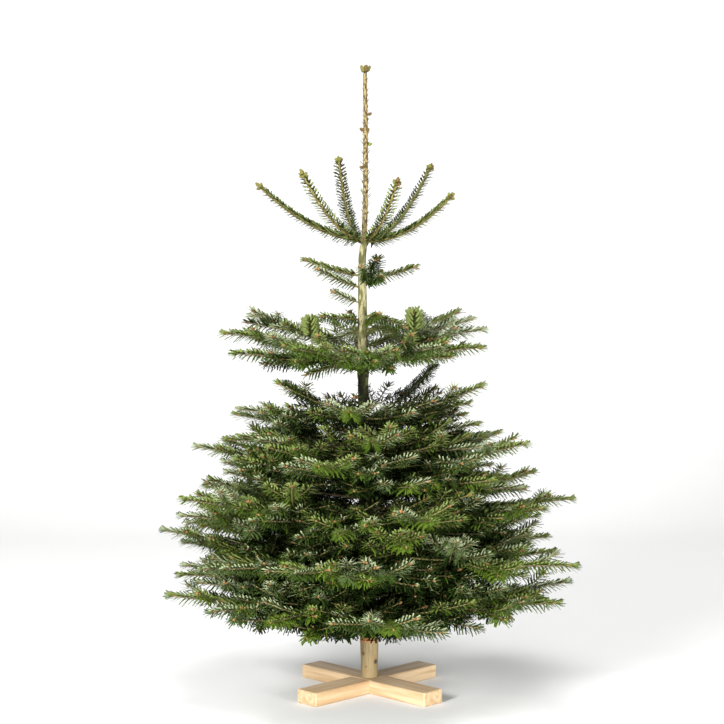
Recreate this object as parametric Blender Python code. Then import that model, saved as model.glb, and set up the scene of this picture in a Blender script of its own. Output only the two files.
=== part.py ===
"""A cut fir tree, as sold at Christmas, on a plain wooden cross stand.

The trunk stays whole from its flat cut to the top bud. Boughs leave it in whorls, one whorl for each
year of growth. The three oldest whorls have bare inner boughs that end where their foliage starts; on
the younger ones the foliage starts at the trunk. Every mass of foliage is a stem with side twigs, and
all of them carry needles, which stand out of a slim three-sided core as long teeth.

Metres, +Z up. The origin is on the flat underside of the stand, below the middle of the trunk's cut.
"""

import math
import random
from collections import namedtuple

import bmesh
import bpy
from mathutils import Vector

# Stand
BEAM_LENGTH = 0.52
BEAM_WIDTH = 0.080
BEAM_THICKNESS = 0.040
BEAM_EDGE = 0.003  # chamfer along the sawn edges
STAND_TURN = 45  # degrees from +X to the lower beam
PIN_RADIUS = 0.004
PIN_SIDES = 12
PIN_IN_STAND = 0.030
PIN_IN_TRUNK = 0.050

# Trunk
GAP = 0.0003  # left between pieces that touch
TREE_HEIGHT = 1.848  # from the cut to the top of the leader's bud
FOOT_HEIGHT = 0.112  # the foot is shaved to fit a stand, up to here above the cut
BARK_STEP = 0.004  # height of the shoulder where the bark starts
TRUNK_SIDES = 14
TRUNK_LINE = (  # height above the cut, how far the trunk's axis lies to the right of the cut's middle
    (0.0, 0.0),
    (0.12, -0.001),
    (0.45, -0.011),
    (0.87, -0.0188),
    (1.14, -0.0217),
    (1.275, -0.0222),
    (1.33, -0.0153),
    (1.45, -0.0116),
    (1.69, -0.0113),
    (TREE_HEIGHT, -0.0135),
)
TRUNK_TAPER = (  # height above the cut, radius
    (0.0, 0.0250),
    (FOOT_HEIGHT, 0.0280),
    (FOOT_HEIGHT + BARK_STEP, 0.0305),
    (0.20, 0.0285),
    (0.45, 0.0235),
    (0.75, 0.0190),
    (1.00, 0.0164),
    (1.18, 0.0139),
    (1.305, 0.0115),
    (1.335, 0.0072),
    (1.60, 0.0064),
    (1.825, 0.0048),
    (1.834, 0.0100),
    (TREE_HEIGHT, 0.0045),
)

# Boughs and foliage
UPTURN = 0.55  # share of a bough's rise that comes late, as it turns up to the light
CROWN_UPTURNS = (1.15, 0.95, 0.95, 0.80, 0.95, 0.95)  # this year's shoots leave flattest and turn up most
UPPER_UPTURN = -0.70  # these boughs leave steeply and level out
BARE_SHARE = 0.36  # a bare bough ends at this share of its whorl's reach
BOUGH_RADIUS = 0.0095
BOUGH_TIP_RADIUS = 0.0065
BOUGH_SIDES = 6
STEM_RADIUS = 0.0062  # of the stem in the mass of a bough with LONG_REACH, less in a shorter one
LONG_REACH = 0.60
TWIG_SHARE_OF_STEM = 0.7  # a side twig's radius at its root, as a share of its stem's
SHOOT_TIP_RADIUS = 0.0022
NEEDLE_LENGTH = 0.048
NEEDLE_SWEEP = 50  # degrees that a needle leans away from its twig
NEEDLE_LIFTS = (0.50, -0.12)  # how far needles tilt up, by turns, as a share of their length
TOOTH_PITCH = 0.041  # distance between two needles on a twig
CLEAR_OF_TRUNK = 0.022  # twigs are bare of needles this near the trunk
TWIG_ANGLE = 52  # degrees between a side twig and its stem
TWIG_SHARE = 0.58  # a side twig's length, as a share of the stem beyond it
TWIG_LEAST = 0.06
TWIGGED_LENGTH = 0.36  # shorter masses are this year's shoots, and have no side twigs
FIRST_TWIG = 0.22  # share of the stem below its first pair of twigs
LAST_TWIG = 0.72  # and below its last
TWIG_PITCH = 0.085  # distance along the stem between pairs of twigs, at least
TWIG_TILTS = (0.32, -0.22)  # how steeply twigs rise and droop, by turns
TWIG_UPTURN = 0.10  # how far a side twig's tip turns up, as a share of its length
OUTER_NEEDLES = 0.35  # how much shorter needles get towards a tip
TIP_NEEDLE = 0.35  # length of the point at a tip, as a share of a needle
SWAY = 0.012  # how far a bough wanders to the side
SECTOR_MARGIN = 0.004  # kept clear on each side of a mass's own sector
SEED = 7

# One whorl a year: where it leaves the trunk above the cut, then for each bough its direction in
# degrees from +X towards +Y, its reach from the trunk's axis and how far its tip rises.
Whorl = namedtuple("Whorl", "name height directions reaches rises upturns bare")
WHORLS = (
    Whorl(
        "crown", 1.317,
        (350, 48, 108, 172, 232, 296),
        (0.265, 0.318, 0.261, 0.322, 0.283, 0.215),
        (0.130, 0.259, 0.285, 0.172, 0.170, 0.151),
        CROWN_UPTURNS, False,
    ),
    Whorl(
        "upper", 0.925,
        (356, 50, 140, 193, 242, 303),
        (0.354, 0.430, 0.467, 0.413, 0.400, 0.390),
        (0.122, 0.169, 0.175, 0.110, 0.060, 0.066),
        (UPPER_UPTURN,) * 6, False,
    ),
    Whorl(
        "shoulder", 0.776,
        (190, 264, 340, 58, 128),
        (0.366, 0.400, 0.363, 0.434, 0.407),
        (0.033, 0.040, 0.102, 0.159, 0.104),
        (UPTURN,) * 5, False,
    ),
    Whorl(
        "middle", 0.625,
        (184, 256, 330, 42, 113),
        (0.496, 0.500, 0.517, 0.500, 0.500),
        (0.071, 0.050, 0.093, 0.085, 0.085),
        (UPTURN,) * 5, False,
    ),
    Whorl(
        "broad", 0.488,
        (2, 73, 146, 215, 288),
        (0.617, 0.580, 0.625, 0.605, 0.560),
        (0.046, 0.080, 0.052, 0.082, 0.045),
        (UPTURN,) * 5, True,
    ),
    Whorl(
        "widest", 0.350,
        (180, 252, 328, 37, 109),
        (0.603, 0.600, 0.664, 0.620, 0.610),
        (0.090, 0.050, 0.038, 0.080, 0.080),
        (UPTURN,) * 5, True,
    ),
    Whorl(
        "lowest", 0.205,
        (352, 64, 136, 203, 276),
        (0.585, 0.600, 0.620, 0.606, 0.590),
        (0.092, 0.085, 0.080, 0.080, 0.055),
        (UPTURN,) * 5, True,
    ),
)

# Lone shoots on the stretch of trunk between the two top whorls: height, direction, reach, rise.
SIDE_SHOOTS = (
    (1.212, 177, 0.172, 0.048),
    (1.200, 8, 0.160, 0.040),
    (1.196, 291, 0.123, 0.056),
    (1.130, 186, 0.086, 0.032),
)


def material(name, color, roughness, metallic=0.0):
    """A Principled material with the piece's plain colour."""
    made = bpy.data.materials.new(name)
    made.use_nodes = True
    shader = made.node_tree.nodes["Principled BSDF"]
    shader.inputs["Base Color"].default_value = (*color, 1)
    shader.inputs["Roughness"].default_value = roughness
    shader.inputs["Metallic"].default_value = metallic
    made.diffuse_color = (*color, 1)
    return made


def add_object(name, mesh, finish):
    """Links a mesh into the scene as one named object."""
    mesh.materials.clear()
    mesh.materials.append(finish)
    obj = bpy.data.objects.new(name, mesh)
    bpy.context.scene.collection.objects.link(obj)
    return obj


def mesh_of(name, points, faces):
    """A closed mesh of these points and faces, with its normals facing out."""
    shape = bmesh.new()
    corners = [shape.verts.new(point) for point in points]
    for face in faces:
        shape.faces.new([corners[i] for i in face])
    bmesh.ops.recalc_face_normals(shape, faces=shape.faces)
    bmesh.ops.triangulate(shape, faces=shape.faces)
    mesh = bpy.data.meshes.new(name)
    shape.to_mesh(mesh)
    shape.free()
    return mesh


def frames_along(path):
    """The (side, up) directions at each point of a path, with side kept level."""
    frames = []
    for i in range(len(path)):
        tangent = (path[min(i + 1, len(path) - 1)] - path[max(i - 1, 0)]).normalized()
        side = tangent.cross(Vector((0, 0, 1)))
        if side.length < 0.05:  # a path that runs straight up
            side = Vector((0, -1, 0))
        side.normalize()
        frames.append((side, side.cross(tangent).normalized()))
    return frames


def limb_mesh(name, path, radii, sides, level=False):
    """A round tapering limb: a ring of corners at each point of its path, capped at both ends.

    The rings stand across the path, or lie level on an upright limb that is sawn off flat.
    """
    points = []
    frames = [(Vector((1, 0, 0)), Vector((0, 1, 0)))] * len(path) if level else frames_along(path)
    for centre, radius, (side, up) in zip(path, radii, frames):
        for k in range(sides):
            angle = math.tau * k / sides
            points.append(centre + radius * (math.cos(angle) * side + math.sin(angle) * up))
    faces = [tuple(range(sides)), tuple(len(points) - sides + k for k in range(sides))]
    for ring in range(len(path) - 1):
        for k in range(sides):
            a, b = ring * sides + k, ring * sides + (k + 1) % sides
            faces.append((a, b, b + sides, a + sides))
    return mesh_of(name, points, faces)


def needled_mesh(name, path, radii, bare_until):
    """A twig with its needles: a three-sided core whose two upper sides carry one long tooth a step.

    The first steps, up to bare_until of them, have no needles.
    """
    frames = frames_along(path)
    points = []
    for centre, radius, (side, up) in zip(path, radii, frames):
        points.append(centre + radius * up)
        points.append(centre - radius * (0.87 * side + 0.5 * up))
        points.append(centre + radius * (0.87 * side - 0.5 * up))
    faces = [(0, 1, 2)]
    steps = len(path) - 1
    lean = math.radians(NEEDLE_SWEEP)
    for step in range(steps):
        base = 3 * step
        faces.append((base + 1, base + 2, base + 5, base + 4))
        side, up = frames[step]
        forward = (path[step + 1] - path[step]).normalized()
        for way, low in ((-1, 1), (1, 2)):
            quad = (base, base + low, base + low + 3, base + 3)
            if step < bare_until:
                faces.append(quad)
                continue
            length = NEEDLE_LENGTH * (1 - OUTER_NEEDLES * (step / steps) ** 3)
            middle = sum((points[i] for i in quad), Vector()) / 4
            lift = NEEDLE_LIFTS[(step + low) % 2]
            reach = way * math.sin(lean) * side + math.cos(lean) * forward + lift * up
            points.append(middle + length * reach.normalized())
            tip = len(points) - 1
            faces += [(quad[i], quad[(i + 1) % 4], tip) for i in range(4)]
    last = 3 * steps
    points.append(path[-1] + (path[-1] - path[-2]).normalized() * NEEDLE_LENGTH * TIP_NEEDLE)
    faces += [(last + i, last + (i + 1) % 3, len(points) - 1) for i in range(3)]
    return mesh_of(name, points, faces)


def at_height(table, height):
    """The value at a height above the cut, from a table of (height, value) rows."""
    for (low, first), (high, second) in zip(table, table[1:]):
        if height <= high:
            return first + (second - first) * (height - low) / (high - low)
    return table[-1][1]


def trunk_at(height):
    """The trunk's axis at a height above the cut."""
    return Vector((at_height(TRUNK_LINE, height), 0, BEAM_THICKNESS + GAP + height))


def trunk_mesh(name, grown):
    """The trunk, with its radius larger by grown."""
    heights = sorted({height for height, _ in TRUNK_TAPER + TRUNK_LINE})
    path = [trunk_at(height) for height in heights]
    radii = [at_height(TRUNK_TAPER, height) + grown for height in heights]
    return limb_mesh(name, path, radii, TRUNK_SIDES, level=True)


def bough_curve(height, direction, reach, rise, upturn, rng):
    """A function from 0 at the trunk's axis to 1 at the bough's tip, giving points of its line."""
    start = trunk_at(height)
    angle = math.radians(direction)
    out = Vector((math.cos(angle), math.sin(angle), 0))
    aside = Vector((-out.y, out.x, 0))
    sway = SWAY * rng.uniform(-1, 1)

    def point(share):
        lift = rise * ((1 - upturn) * share + upturn * share * share)
        return start + out * reach * share + aside * sway * math.sin(math.pi * share) + Vector((0, 0, lift))

    return point


def twig_path(root, direction, length):
    """A side twig's line, which turns up a little towards its tip."""
    steps = max(2, round(length / TOOTH_PITCH))
    path = []
    for i in range(steps + 1):
        share = i / steps
        lift = Vector((0, 0, TWIG_UPTURN * length * share * share))
        path.append(root + direction * length * share + lift)
    return path


def tapered(first, last, count):
    """Evenly falling radii, from first to last."""
    return [first + (last - first) * i / (count - 1) for i in range(count)]


def in_sector(point, axis, direction, half_left, half_right):
    """Whether a point lies between the upright planes that bound a mass's own sector."""
    away = point - axis
    angle = math.radians(direction)
    along = away.x * math.cos(angle) + away.y * math.sin(angle)
    aside = -away.x * math.sin(angle) + away.y * math.cos(angle)
    half = math.radians(half_left if aside > 0 else half_right)
    return math.sin(half) * along - math.cos(half) * abs(aside) > SECTOR_MARGIN


def foliage(name, line, start, axis, direction, halves, rng, finish, cutter):
    """One mass: a needled stem from the share start of its bough's line to the tip, with side twigs.

    The twigs are fused to the stem by one Boolean union, and a cutter, where there is one, seats the
    stem against the trunk. A twig that would leave the mass's sector is shortened, or skipped.
    """
    length = (line(1) - line(start)).length
    radius = STEM_RADIUS * math.sqrt((line(1) - line(0)).length / LONG_REACH)
    steps = max(3, round(length / TOOTH_PITCH))
    path = [line(start + (1 - start) * i / steps) for i in range(steps + 1)]
    bare = 0 if cutter is None else sum((p - axis).xy.length < cutter["clear"] for p in path)
    twig_stems = []
    count = 0
    if length > TWIGGED_LENGTH:
        count = 1 + round(length * (LAST_TWIG - FIRST_TWIG) / TWIG_PITCH)
    for pair in range(count):
        share = FIRST_TWIG + (LAST_TWIG - FIRST_TWIG) * pair / max(1, count - 1)
        root = line(start + (1 - start) * share)
        forward = (line(1) - root).normalized()
        aside = Vector((-forward.y, forward.x, 0)).normalized()
        for way in (1, -1):
            angle = math.radians(TWIG_ANGLE + rng.uniform(-6, 6))
            twig = forward * math.cos(angle) + aside * way * math.sin(angle)
            twig.z += TWIG_TILTS[(pair + (way > 0)) % 2] * rng.uniform(0.7, 1.1)
            twig.normalize()
            beyond = length * (1 - share)
            reach = TWIG_SHARE * beyond * rng.uniform(0.9, 1.1)
            while reach > TWIG_LEAST:
                tip = root + twig * reach
                corner = tip + aside * way * NEEDLE_LENGTH * math.sin(math.radians(NEEDLE_SWEEP))
                if in_sector(corner, axis, direction, *halves):
                    break
                reach -= 0.01
            if reach > TWIG_LEAST:
                twig_stems.append(twig_path(root, twig, reach))
    radii = tapered(radius, SHOOT_TIP_RADIUS, len(path))
    stem = add_object(name, needled_mesh(name, path, radii, bare), finish)
    twigs = bpy.data.collections.new(name + "_twigs")
    bpy.context.scene.collection.children.link(twigs)
    for i, twig in enumerate(twig_stems):
        radii = tapered(radius * TWIG_SHARE_OF_STEM, SHOOT_TIP_RADIUS, len(twig))
        mesh = needled_mesh(f"{name}_{i}", twig, radii, 1)
        twigs.objects.link(bpy.data.objects.new(f"{name}_{i}", mesh))
    if twig_stems:
        join = stem.modifiers.new("join", "BOOLEAN")
        join.operation = "UNION"
        join.operand_type = "COLLECTION"
        join.collection = twigs
        join.solver = "MANIFOLD"
    if cutter is not None:
        seat = stem.modifiers.new("seat", "BOOLEAN")
        seat.operation = "DIFFERENCE"
        seat.object = cutter["object"]
        seat.solver = "MANIFOLD"
    apply_modifiers(stem)
    for twig in list(twigs.objects):
        bpy.data.objects.remove(twig)
    bpy.data.collections.remove(twigs)
    return stem


def apply_modifiers(obj):
    """Gives an object the mesh that its modifiers make, and removes them."""
    graph = bpy.context.evaluated_depsgraph_get()
    made = bpy.data.meshes.new_from_object(obj.evaluated_get(graph))
    obj.modifiers.clear()
    obj.data = made


def sector_halves(directions, index):
    """Half the angle from a bough to its neighbour on each side, in degrees."""
    here = directions[index]
    gaps = sorted((other - here) % 360 for k, other in enumerate(directions) if k != index)
    return gaps[0] / 2, (360 - gaps[-1]) / 2


def bough(name, line, end, radius, finish, cutter):
    """A bare inner bough: one tapering limb from the trunk to where its foliage starts."""
    shares = (0.0, end * 0.5, end)
    path = [line(share) for share in shares]
    obj = add_object(
        name, limb_mesh(name, path, (radius, radius * 0.85, BOUGH_TIP_RADIUS), BOUGH_SIDES), finish
    )
    seat = obj.modifiers.new("seat", "BOOLEAN")
    seat.operation = "DIFFERENCE"
    seat.object = cutter
    seat.solver = "MANIFOLD"
    apply_modifiers(obj)
    return obj


def box_mesh(name, size, centre):
    """A box of this size about a centre."""
    shape = bmesh.new()
    bmesh.ops.create_cube(shape, size=1)
    for corner in shape.verts:
        corner.co = Vector(corner.co[i] * size[i] + centre[i] for i in range(3))
    mesh = bpy.data.meshes.new(name)
    shape.to_mesh(mesh)
    shape.free()
    return mesh


def cut(obj, tool):
    """Subtracts a helper from an object, and removes the helper."""
    tool.hide_render = True
    tool.display_type = "WIRE"
    saw = obj.modifiers.new("cut", "BOOLEAN")
    saw.operation = "DIFFERENCE"
    saw.object = tool
    apply_modifiers(obj)
    bpy.data.objects.remove(tool)


def pin_tool(name, radius, low, high):
    """A round pin or hole on the stand's centre line, from low to high."""
    path = [Vector((0, 0, low)), Vector((0, 0, high))]
    return limb_mesh(name, path, (radius, radius), PIN_SIDES)


def stand(wood, steel):
    """Two beams half-lapped into a cross, and the pin that holds the trunk on them."""
    half = BEAM_THICKNESS / 2
    pin_low = BEAM_THICKNESS - PIN_IN_STAND
    pin_high = BEAM_THICKNESS + GAP + PIN_IN_TRUNK
    for name, turn, notch_low in (("stand_beam_lower", 0, half), ("stand_beam_upper", 90, -half)):
        beam = add_object(
            name, box_mesh(name, (BEAM_LENGTH, BEAM_WIDTH, BEAM_THICKNESS), (0, 0, half)), wood
        )
        chamfer = beam.modifiers.new("chamfer", "BEVEL")
        chamfer.width = BEAM_EDGE
        chamfer.segments = 1
        apply_modifiers(beam)
        notch_height = BEAM_THICKNESS if notch_low > 0 else half + GAP + half
        notch = (BEAM_WIDTH + 2 * GAP, 2 * BEAM_WIDTH, notch_height)
        cut(beam, add_object("notch", box_mesh("notch", notch, (0, 0, notch_low + notch_height / 2)), wood))
        hole = pin_tool("hole", PIN_RADIUS + GAP, pin_low - GAP, 2 * BEAM_THICKNESS)
        cut(beam, add_object("hole", hole, wood))
        beam.rotation_euler.z = math.radians(STAND_TURN + turn)
    add_object("stand_pin", pin_tool("stand_pin", PIN_RADIUS, pin_low, pin_high), steel)
    return pin_high


def main():
    for obj in list(bpy.data.objects):
        bpy.data.objects.remove(obj)
    bark = material("bark", (0.20, 0.18, 0.11), 0.85)
    needles = material("needles", (0.055, 0.085, 0.022), 0.55)
    wood = material("stand_wood", (0.62, 0.46, 0.29), 0.7)
    steel = material("pin_steel", (0.55, 0.55, 0.56), 0.35, 1.0)

    pin_high = stand(wood, steel)
    trunk = add_object("trunk", trunk_mesh("trunk", 0), bark)
    trunk_hole = pin_tool("trunk_hole", PIN_RADIUS + GAP, 0, pin_high + GAP)
    cut(trunk, add_object("trunk_hole", trunk_hole, bark))

    seat = add_object("trunk_seat", trunk_mesh("trunk_seat", GAP / math.cos(math.pi / TRUNK_SIDES)), bark)
    seat.hide_render = True
    seat.display_type = "WIRE"

    for whorl in WHORLS:
        axis = trunk_at(whorl.height)
        for i, direction in enumerate(whorl.directions):
            rng = random.Random(f"{SEED} {whorl.name} {i}")
            reach = whorl.reaches[i]
            line = bough_curve(whorl.height, direction, reach, whorl.rises[i], whorl.upturns[i], rng)
            halves = sector_halves(whorl.directions, i)
            name = f"{whorl.name}_foliage_{i + 1}"
            start = 0.0
            clear = at_height(TRUNK_TAPER, whorl.height) + CLEAR_OF_TRUNK
            cutter = {"object": seat, "clear": clear}
            if whorl.bare:
                bough(f"{whorl.name}_bough_{i + 1}", line, BARE_SHARE, BOUGH_RADIUS, bark, seat)
                start = BARE_SHARE + GAP / reach
                cutter = None
            foliage(name, line, start, axis, direction, halves, rng, needles, cutter)
    for i, (height, direction, reach, rise) in enumerate(SIDE_SHOOTS):
        rng = random.Random(f"{SEED} side {i}")
        line = bough_curve(height, direction, reach, rise, UPTURN, rng)
        cutter = {"object": seat, "clear": at_height(TRUNK_TAPER, height) + CLEAR_OF_TRUNK}
        name = f"side_shoot_{i + 1}"
        foliage(name, line, 0.0, trunk_at(height), direction, (60, 60), rng, needles, cutter)
    bpy.data.objects.remove(seat)


main()
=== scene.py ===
# %% [markdown]
# # A cut fir on a wooden cross
#
# The imported model holds the tree's plain solids: a trunk, its boughs, a mass of coarse teeth for each
# spray of foliage, and the cross under it. They are right in size and place, and they stay as they are.
# This script dresses them. It gives the trunk its bark, grows twigs, needles and buds where the masses
# are, gives the cross its wood, and sets up a plain studio with a camera.
#
# Load the imported model first. The dressed tree is to stay about the size of the plain one.

# %% Load the imported model
import math
import random
import time
from collections import namedtuple

import bpy
import numpy as np
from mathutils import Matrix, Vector


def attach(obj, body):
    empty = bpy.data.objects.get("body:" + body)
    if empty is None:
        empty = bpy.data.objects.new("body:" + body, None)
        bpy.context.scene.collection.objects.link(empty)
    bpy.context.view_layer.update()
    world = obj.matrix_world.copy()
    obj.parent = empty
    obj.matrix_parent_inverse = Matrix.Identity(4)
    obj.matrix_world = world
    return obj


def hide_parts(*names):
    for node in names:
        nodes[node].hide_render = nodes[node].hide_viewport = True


started = time.time()
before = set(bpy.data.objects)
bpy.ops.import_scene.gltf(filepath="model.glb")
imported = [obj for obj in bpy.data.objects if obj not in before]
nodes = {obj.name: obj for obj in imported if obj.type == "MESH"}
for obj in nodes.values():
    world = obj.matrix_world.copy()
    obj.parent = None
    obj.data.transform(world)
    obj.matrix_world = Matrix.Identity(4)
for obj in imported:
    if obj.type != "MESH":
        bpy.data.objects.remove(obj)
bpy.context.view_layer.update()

# %% [markdown]
# ## The studio
#
# A tree is judged by its outline and by the depth between its boughs, so the light is large and soft and
# comes from the front and above, and the room is white. A lens could be set by its angle. Here it follows
# from how many pixels one metre covers at the trunk, so one number sets the tree's size in the frame.
#
# The floor and the wall are one sheet: a plane whose far edge is extruded upwards, with the fold bevelled
# round, so that no line shows between them.

# %% Camera and studio
EYE = Vector((-0.0227, -4.0, 0.992))  # the camera looks level along +Y
PIXELS_PER_METRE = 330  # at the trunk
IMAGE_SIZE = 724
SENSOR = 36.0
ROOM = 14.0  # width and depth of the floor
WALL_HEIGHT = 6.0
WALL_PLACE = 5.0  # how far the wall stands behind the tree
FOLD_RADIUS = 1.6
TOUCH = 0.01  # how near an edge has to lie to count as being at a place
ROOM_LIGHT = 0.07  # strength of the white that comes from all sides

bpy.context.scene.view_settings.view_transform = "Standard"
bpy.ops.object.camera_add(location=EYE, rotation=(math.pi / 2, 0, 0))
camera = bpy.context.object
camera.name = "camera"
camera.data.sensor_width = SENSOR
camera.data.lens = PIXELS_PER_METRE * -EYE.y / IMAGE_SIZE * SENSOR
bpy.context.scene.camera = camera

bpy.ops.object.select_all(action="DESELECT")
bpy.ops.mesh.primitive_plane_add(size=ROOM, location=(0, WALL_PLACE - ROOM / 2, 0))
backdrop = bpy.context.object
backdrop.name = "backdrop"
bpy.ops.object.transform_apply()
bpy.ops.object.mode_set(mode="EDIT")
bpy.ops.mesh.select_mode(type="EDGE")
bpy.ops.mesh.select_all(action="DESELECT")
bpy.ops.object.mode_set(mode="OBJECT")
for edge in backdrop.data.edges:
    edge.select = all(backdrop.data.vertices[v].co.y > WALL_PLACE - TOUCH for v in edge.vertices)
bpy.ops.object.mode_set(mode="EDIT")
bpy.ops.mesh.extrude_region_move(TRANSFORM_OT_translate={"value": (0, 0, WALL_HEIGHT)})
bpy.ops.mesh.select_all(action="DESELECT")
bpy.ops.object.mode_set(mode="OBJECT")
for edge in backdrop.data.edges:
    ends = [backdrop.data.vertices[v].co for v in edge.vertices]
    edge.select = all(end.y > WALL_PLACE - TOUCH and end.z < TOUCH for end in ends)
bpy.ops.object.mode_set(mode="EDIT")
bpy.ops.mesh.bevel(offset=FOLD_RADIUS, segments=16, affect="EDGES")
bpy.ops.object.mode_set(mode="OBJECT")
bpy.ops.object.shade_smooth()

world = bpy.data.worlds.new("white_room")
world.use_nodes = True
world.node_tree.nodes["Background"].inputs["Color"].default_value = (1.0, 1.0, 1.0, 1)
world.node_tree.nodes["Background"].inputs["Strength"].default_value = ROOM_LIGHT
bpy.context.scene.world = world

SOFTBOXES = (  # place, aim, side in metres, watts
    ((-2.3, -3.7, 2.0), (0, 0, 0.55), 1.1, 310),
    ((2.4, -3.3, 0.7), (0, 0, 0.3), 1.4, 140),
    ((0.1, -2.3, 0.2), (0, 0, 0.22), 0.4, 26),
    ((0.0, -0.9, 4.2), (0, 0, 0.8), 1.6, 80),
    ((-3.4, 1.4, 4.4), (-0.8, 5.0, 1.2), 2.0, 140),
    ((3.4, 1.4, 4.4), (0.8, 5.0, 1.2), 2.0, 140),
)
for place, aim, side, watts in SOFTBOXES:
    bpy.ops.object.light_add(type="AREA", location=place)
    lamp = bpy.context.object
    lamp.data.size = side
    lamp.data.energy = watts
    lamp.rotation_euler = (Vector(aim) - Vector(place)).to_track_quat("-Z", "Y").to_euler()
print("lens", round(camera.data.lens, 2), "mm;", len(SOFTBOXES), "softboxes")

# %% [markdown]
# ## A small language for finishes
#
# A finish could be wired node by node, with a line for each node and each link. That is long, and the
# sums get lost in it. Instead a socket is wrapped in a small class that knows plus, minus and times, so a
# sum on sockets is written as a sum. Everything else goes through one method that adds a node, sets it
# up and feeds its sockets.

# %% Sockets that do sums, and the finish that holds them
class Socket:
    """An output of a shader node that takes part in sums with numbers and other sockets."""

    def __init__(self, finish, socket):
        self.finish = finish
        self.socket = socket

    def sum(self, operation, first, second):
        made = self.finish.node("ShaderNodeMath", {"operation": operation}, {0: first, 1: second})
        return self.finish.out(made, 0)

    def __add__(self, other):
        return self.sum("ADD", self, other)

    def __sub__(self, other):
        return self.sum("SUBTRACT", self, other)

    def __rsub__(self, other):
        return self.sum("SUBTRACT", other, self)

    def __mul__(self, other):
        return self.sum("MULTIPLY", self, other)

    __radd__ = __add__
    __rmul__ = __mul__


class Finish:
    """A material, built node by node round one Principled shader."""

    def __init__(self, name, color, roughness, metallic=0.0, specular=0.5):
        self.material = bpy.data.materials.new(name)
        self.material.use_nodes = True
        self.tree = self.material.node_tree
        self.shader = self.tree.nodes["Principled BSDF"]
        self.shader.inputs["Base Color"].default_value = (*color, 1)
        self.shader.inputs["Roughness"].default_value = roughness
        self.shader.inputs["Metallic"].default_value = metallic
        self.shader.inputs["Specular IOR Level"].default_value = specular
        self.material.diffuse_color = (*color, 1)

    def node(self, kind, settings, feeds):
        """Adds a node of a kind, with its settings first and then the values or links it is fed."""
        made = self.tree.nodes.new(kind)
        for key, value in settings.items():
            setattr(made, key, value)
        self.feed(made, feeds)
        return made

    def feed(self, made, feeds):
        """Links a node's inputs to sockets, or sets them to plain values."""
        for key, value in feeds.items():
            if isinstance(value, Socket):
                self.tree.links.new(value.socket, made.inputs[key])
            else:
                made.inputs[key].default_value = value

    def out(self, made, key):
        return Socket(self, made.outputs[key])

    def place(self, scale=(1, 1, 1)):
        """Object coordinates, squeezed along each axis by scale."""
        coords = self.node("ShaderNodeTexCoord", {}, {})
        feeds = {"Vector": self.out(coords, "Object"), "Scale": scale}
        return self.out(self.node("ShaderNodeMapping", {}, feeds), "Vector")

    def noise(self, where, scale, detail=4.0):
        made = self.node("ShaderNodeTexNoise", {}, {"Vector": where, "Scale": scale, "Detail": detail})
        return self.out(made, "Fac")

    def height(self):
        """The height above the floor, in metres."""
        parts = self.node("ShaderNodeSeparateXYZ", {}, {0: self.place()})
        return self.out(parts, "Z")

    def between(self, value, low, high):
        """0 below low, 1 above high, and a smooth rise from one to the other."""
        made = self.node(
            "ShaderNodeMapRange", {"interpolation_type": "SMOOTHSTEP"},
            {"Value": value, "From Min": low, "From Max": high},
        )
        return self.out(made, "Result")

    def mix(self, factor, first, second):
        """One colour turning into another."""
        first = (*first, 1) if isinstance(first, tuple) else first
        second = (*second, 1) if isinstance(second, tuple) else second
        made = self.node("ShaderNodeMix", {"data_type": "RGBA"}, {"Factor": factor, 6: first, 7: second})
        return self.out(made, 2)

    def color(self, socket):
        self.feed(self.shader, {"Base Color": socket})

    def bump(self, height, strength, distance):
        feeds = {"Height": height, "Strength": strength, "Distance": distance}
        made = self.node("ShaderNodeBump", {}, feeds)
        self.feed(self.shader, {"Normal": self.out(made, "Normal")})


def dress(obj, *finishes):
    """Gives an object these finishes, in slot order, in place of those it has."""
    obj.data.materials.clear()
    for finish in finishes:
        obj.data.materials.append(finish.material)


white = Finish("studio_white", (0.74, 0.74, 0.735), 0.9)
dress(backdrop, white)
print("studio dressed")

# %% [markdown]
# ## Bark
#
# Young fir bark is smooth and grey-olive, with blisters of resin and small dark scars, and it turns
# paler and warmer towards the top, where the wood is only a year old. Below about a metre the old bark
# is also painted much darker, nearly black, as painted shade from the boughs above it. The foot was
# shaved to fit a stand: bare cream wood with brown patches of inner bark and a few dark knots.
#
# One finish serves the whole barked trunk, because its colour changes with height above the floor. Its
# streaks are noise that is squeezed sideways, so that it runs up the trunk.

# %% Bark and shaved wood
# the old bark's colours are its own grey-olive darkened towards black as painted shade from the boughs
# above; BARK_DARK also colours the real scars
BARK_DARK = (0.006, 0.006, 0.003)
BARK_OLIVE = (0.022, 0.023, 0.007)
BARK_PALE = (0.098, 0.097, 0.040)
YOUNG_OLIVE = (0.115, 0.115, 0.043)
YOUNG_CREAM = (0.36, 0.325, 0.175)
LEADER_TAN = (0.340, 0.262, 0.110)
LEADER_SCAR = (0.078, 0.043, 0.007)
LEADER_SHADE = (0.16, 0.115, 0.035)
RING_RUST = (0.33, 0.15, 0.055)
WOOD_SHADE = (0.220, 0.163, 0.070)
WOOD_CREAM = (0.30, 0.229, 0.111)
WOOD_RUST = (0.30, 0.17, 0.07)
BOUGH_SHADE = (0.10, 0.075, 0.035)
BOUGH_TAN = (0.30, 0.235, 0.11)
YOUNG_FROM = (0.99, 1.08)  # metres above the floor, where old bark, painted dark as shade, turns to young
RING = (0.156, 0.166)  # the rust-red edge that the shaving left on the bark
EDGE = (0.150, 0.154)  # and on the wood
KNOT_BLUR = 0.004
KNOTS = (  # place, radius and colour of what the shaving left on the foot
    ((0.0180, -0.017, 0.0888), 0.0070, (0.05, 0.028, 0.014)),
    ((-0.017, -0.018, 0.113), 0.0060, (0.16, 0.085, 0.03)),
    ((-0.010, -0.022, 0.074), 0.0045, (0.20, 0.11, 0.04)),
    ((0.020, 0.012, 0.105), 0.0050, (0.09, 0.05, 0.03)),
    ((-0.010, 0.022, 0.085), 0.0045, (0.22, 0.12, 0.05)),
)

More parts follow.
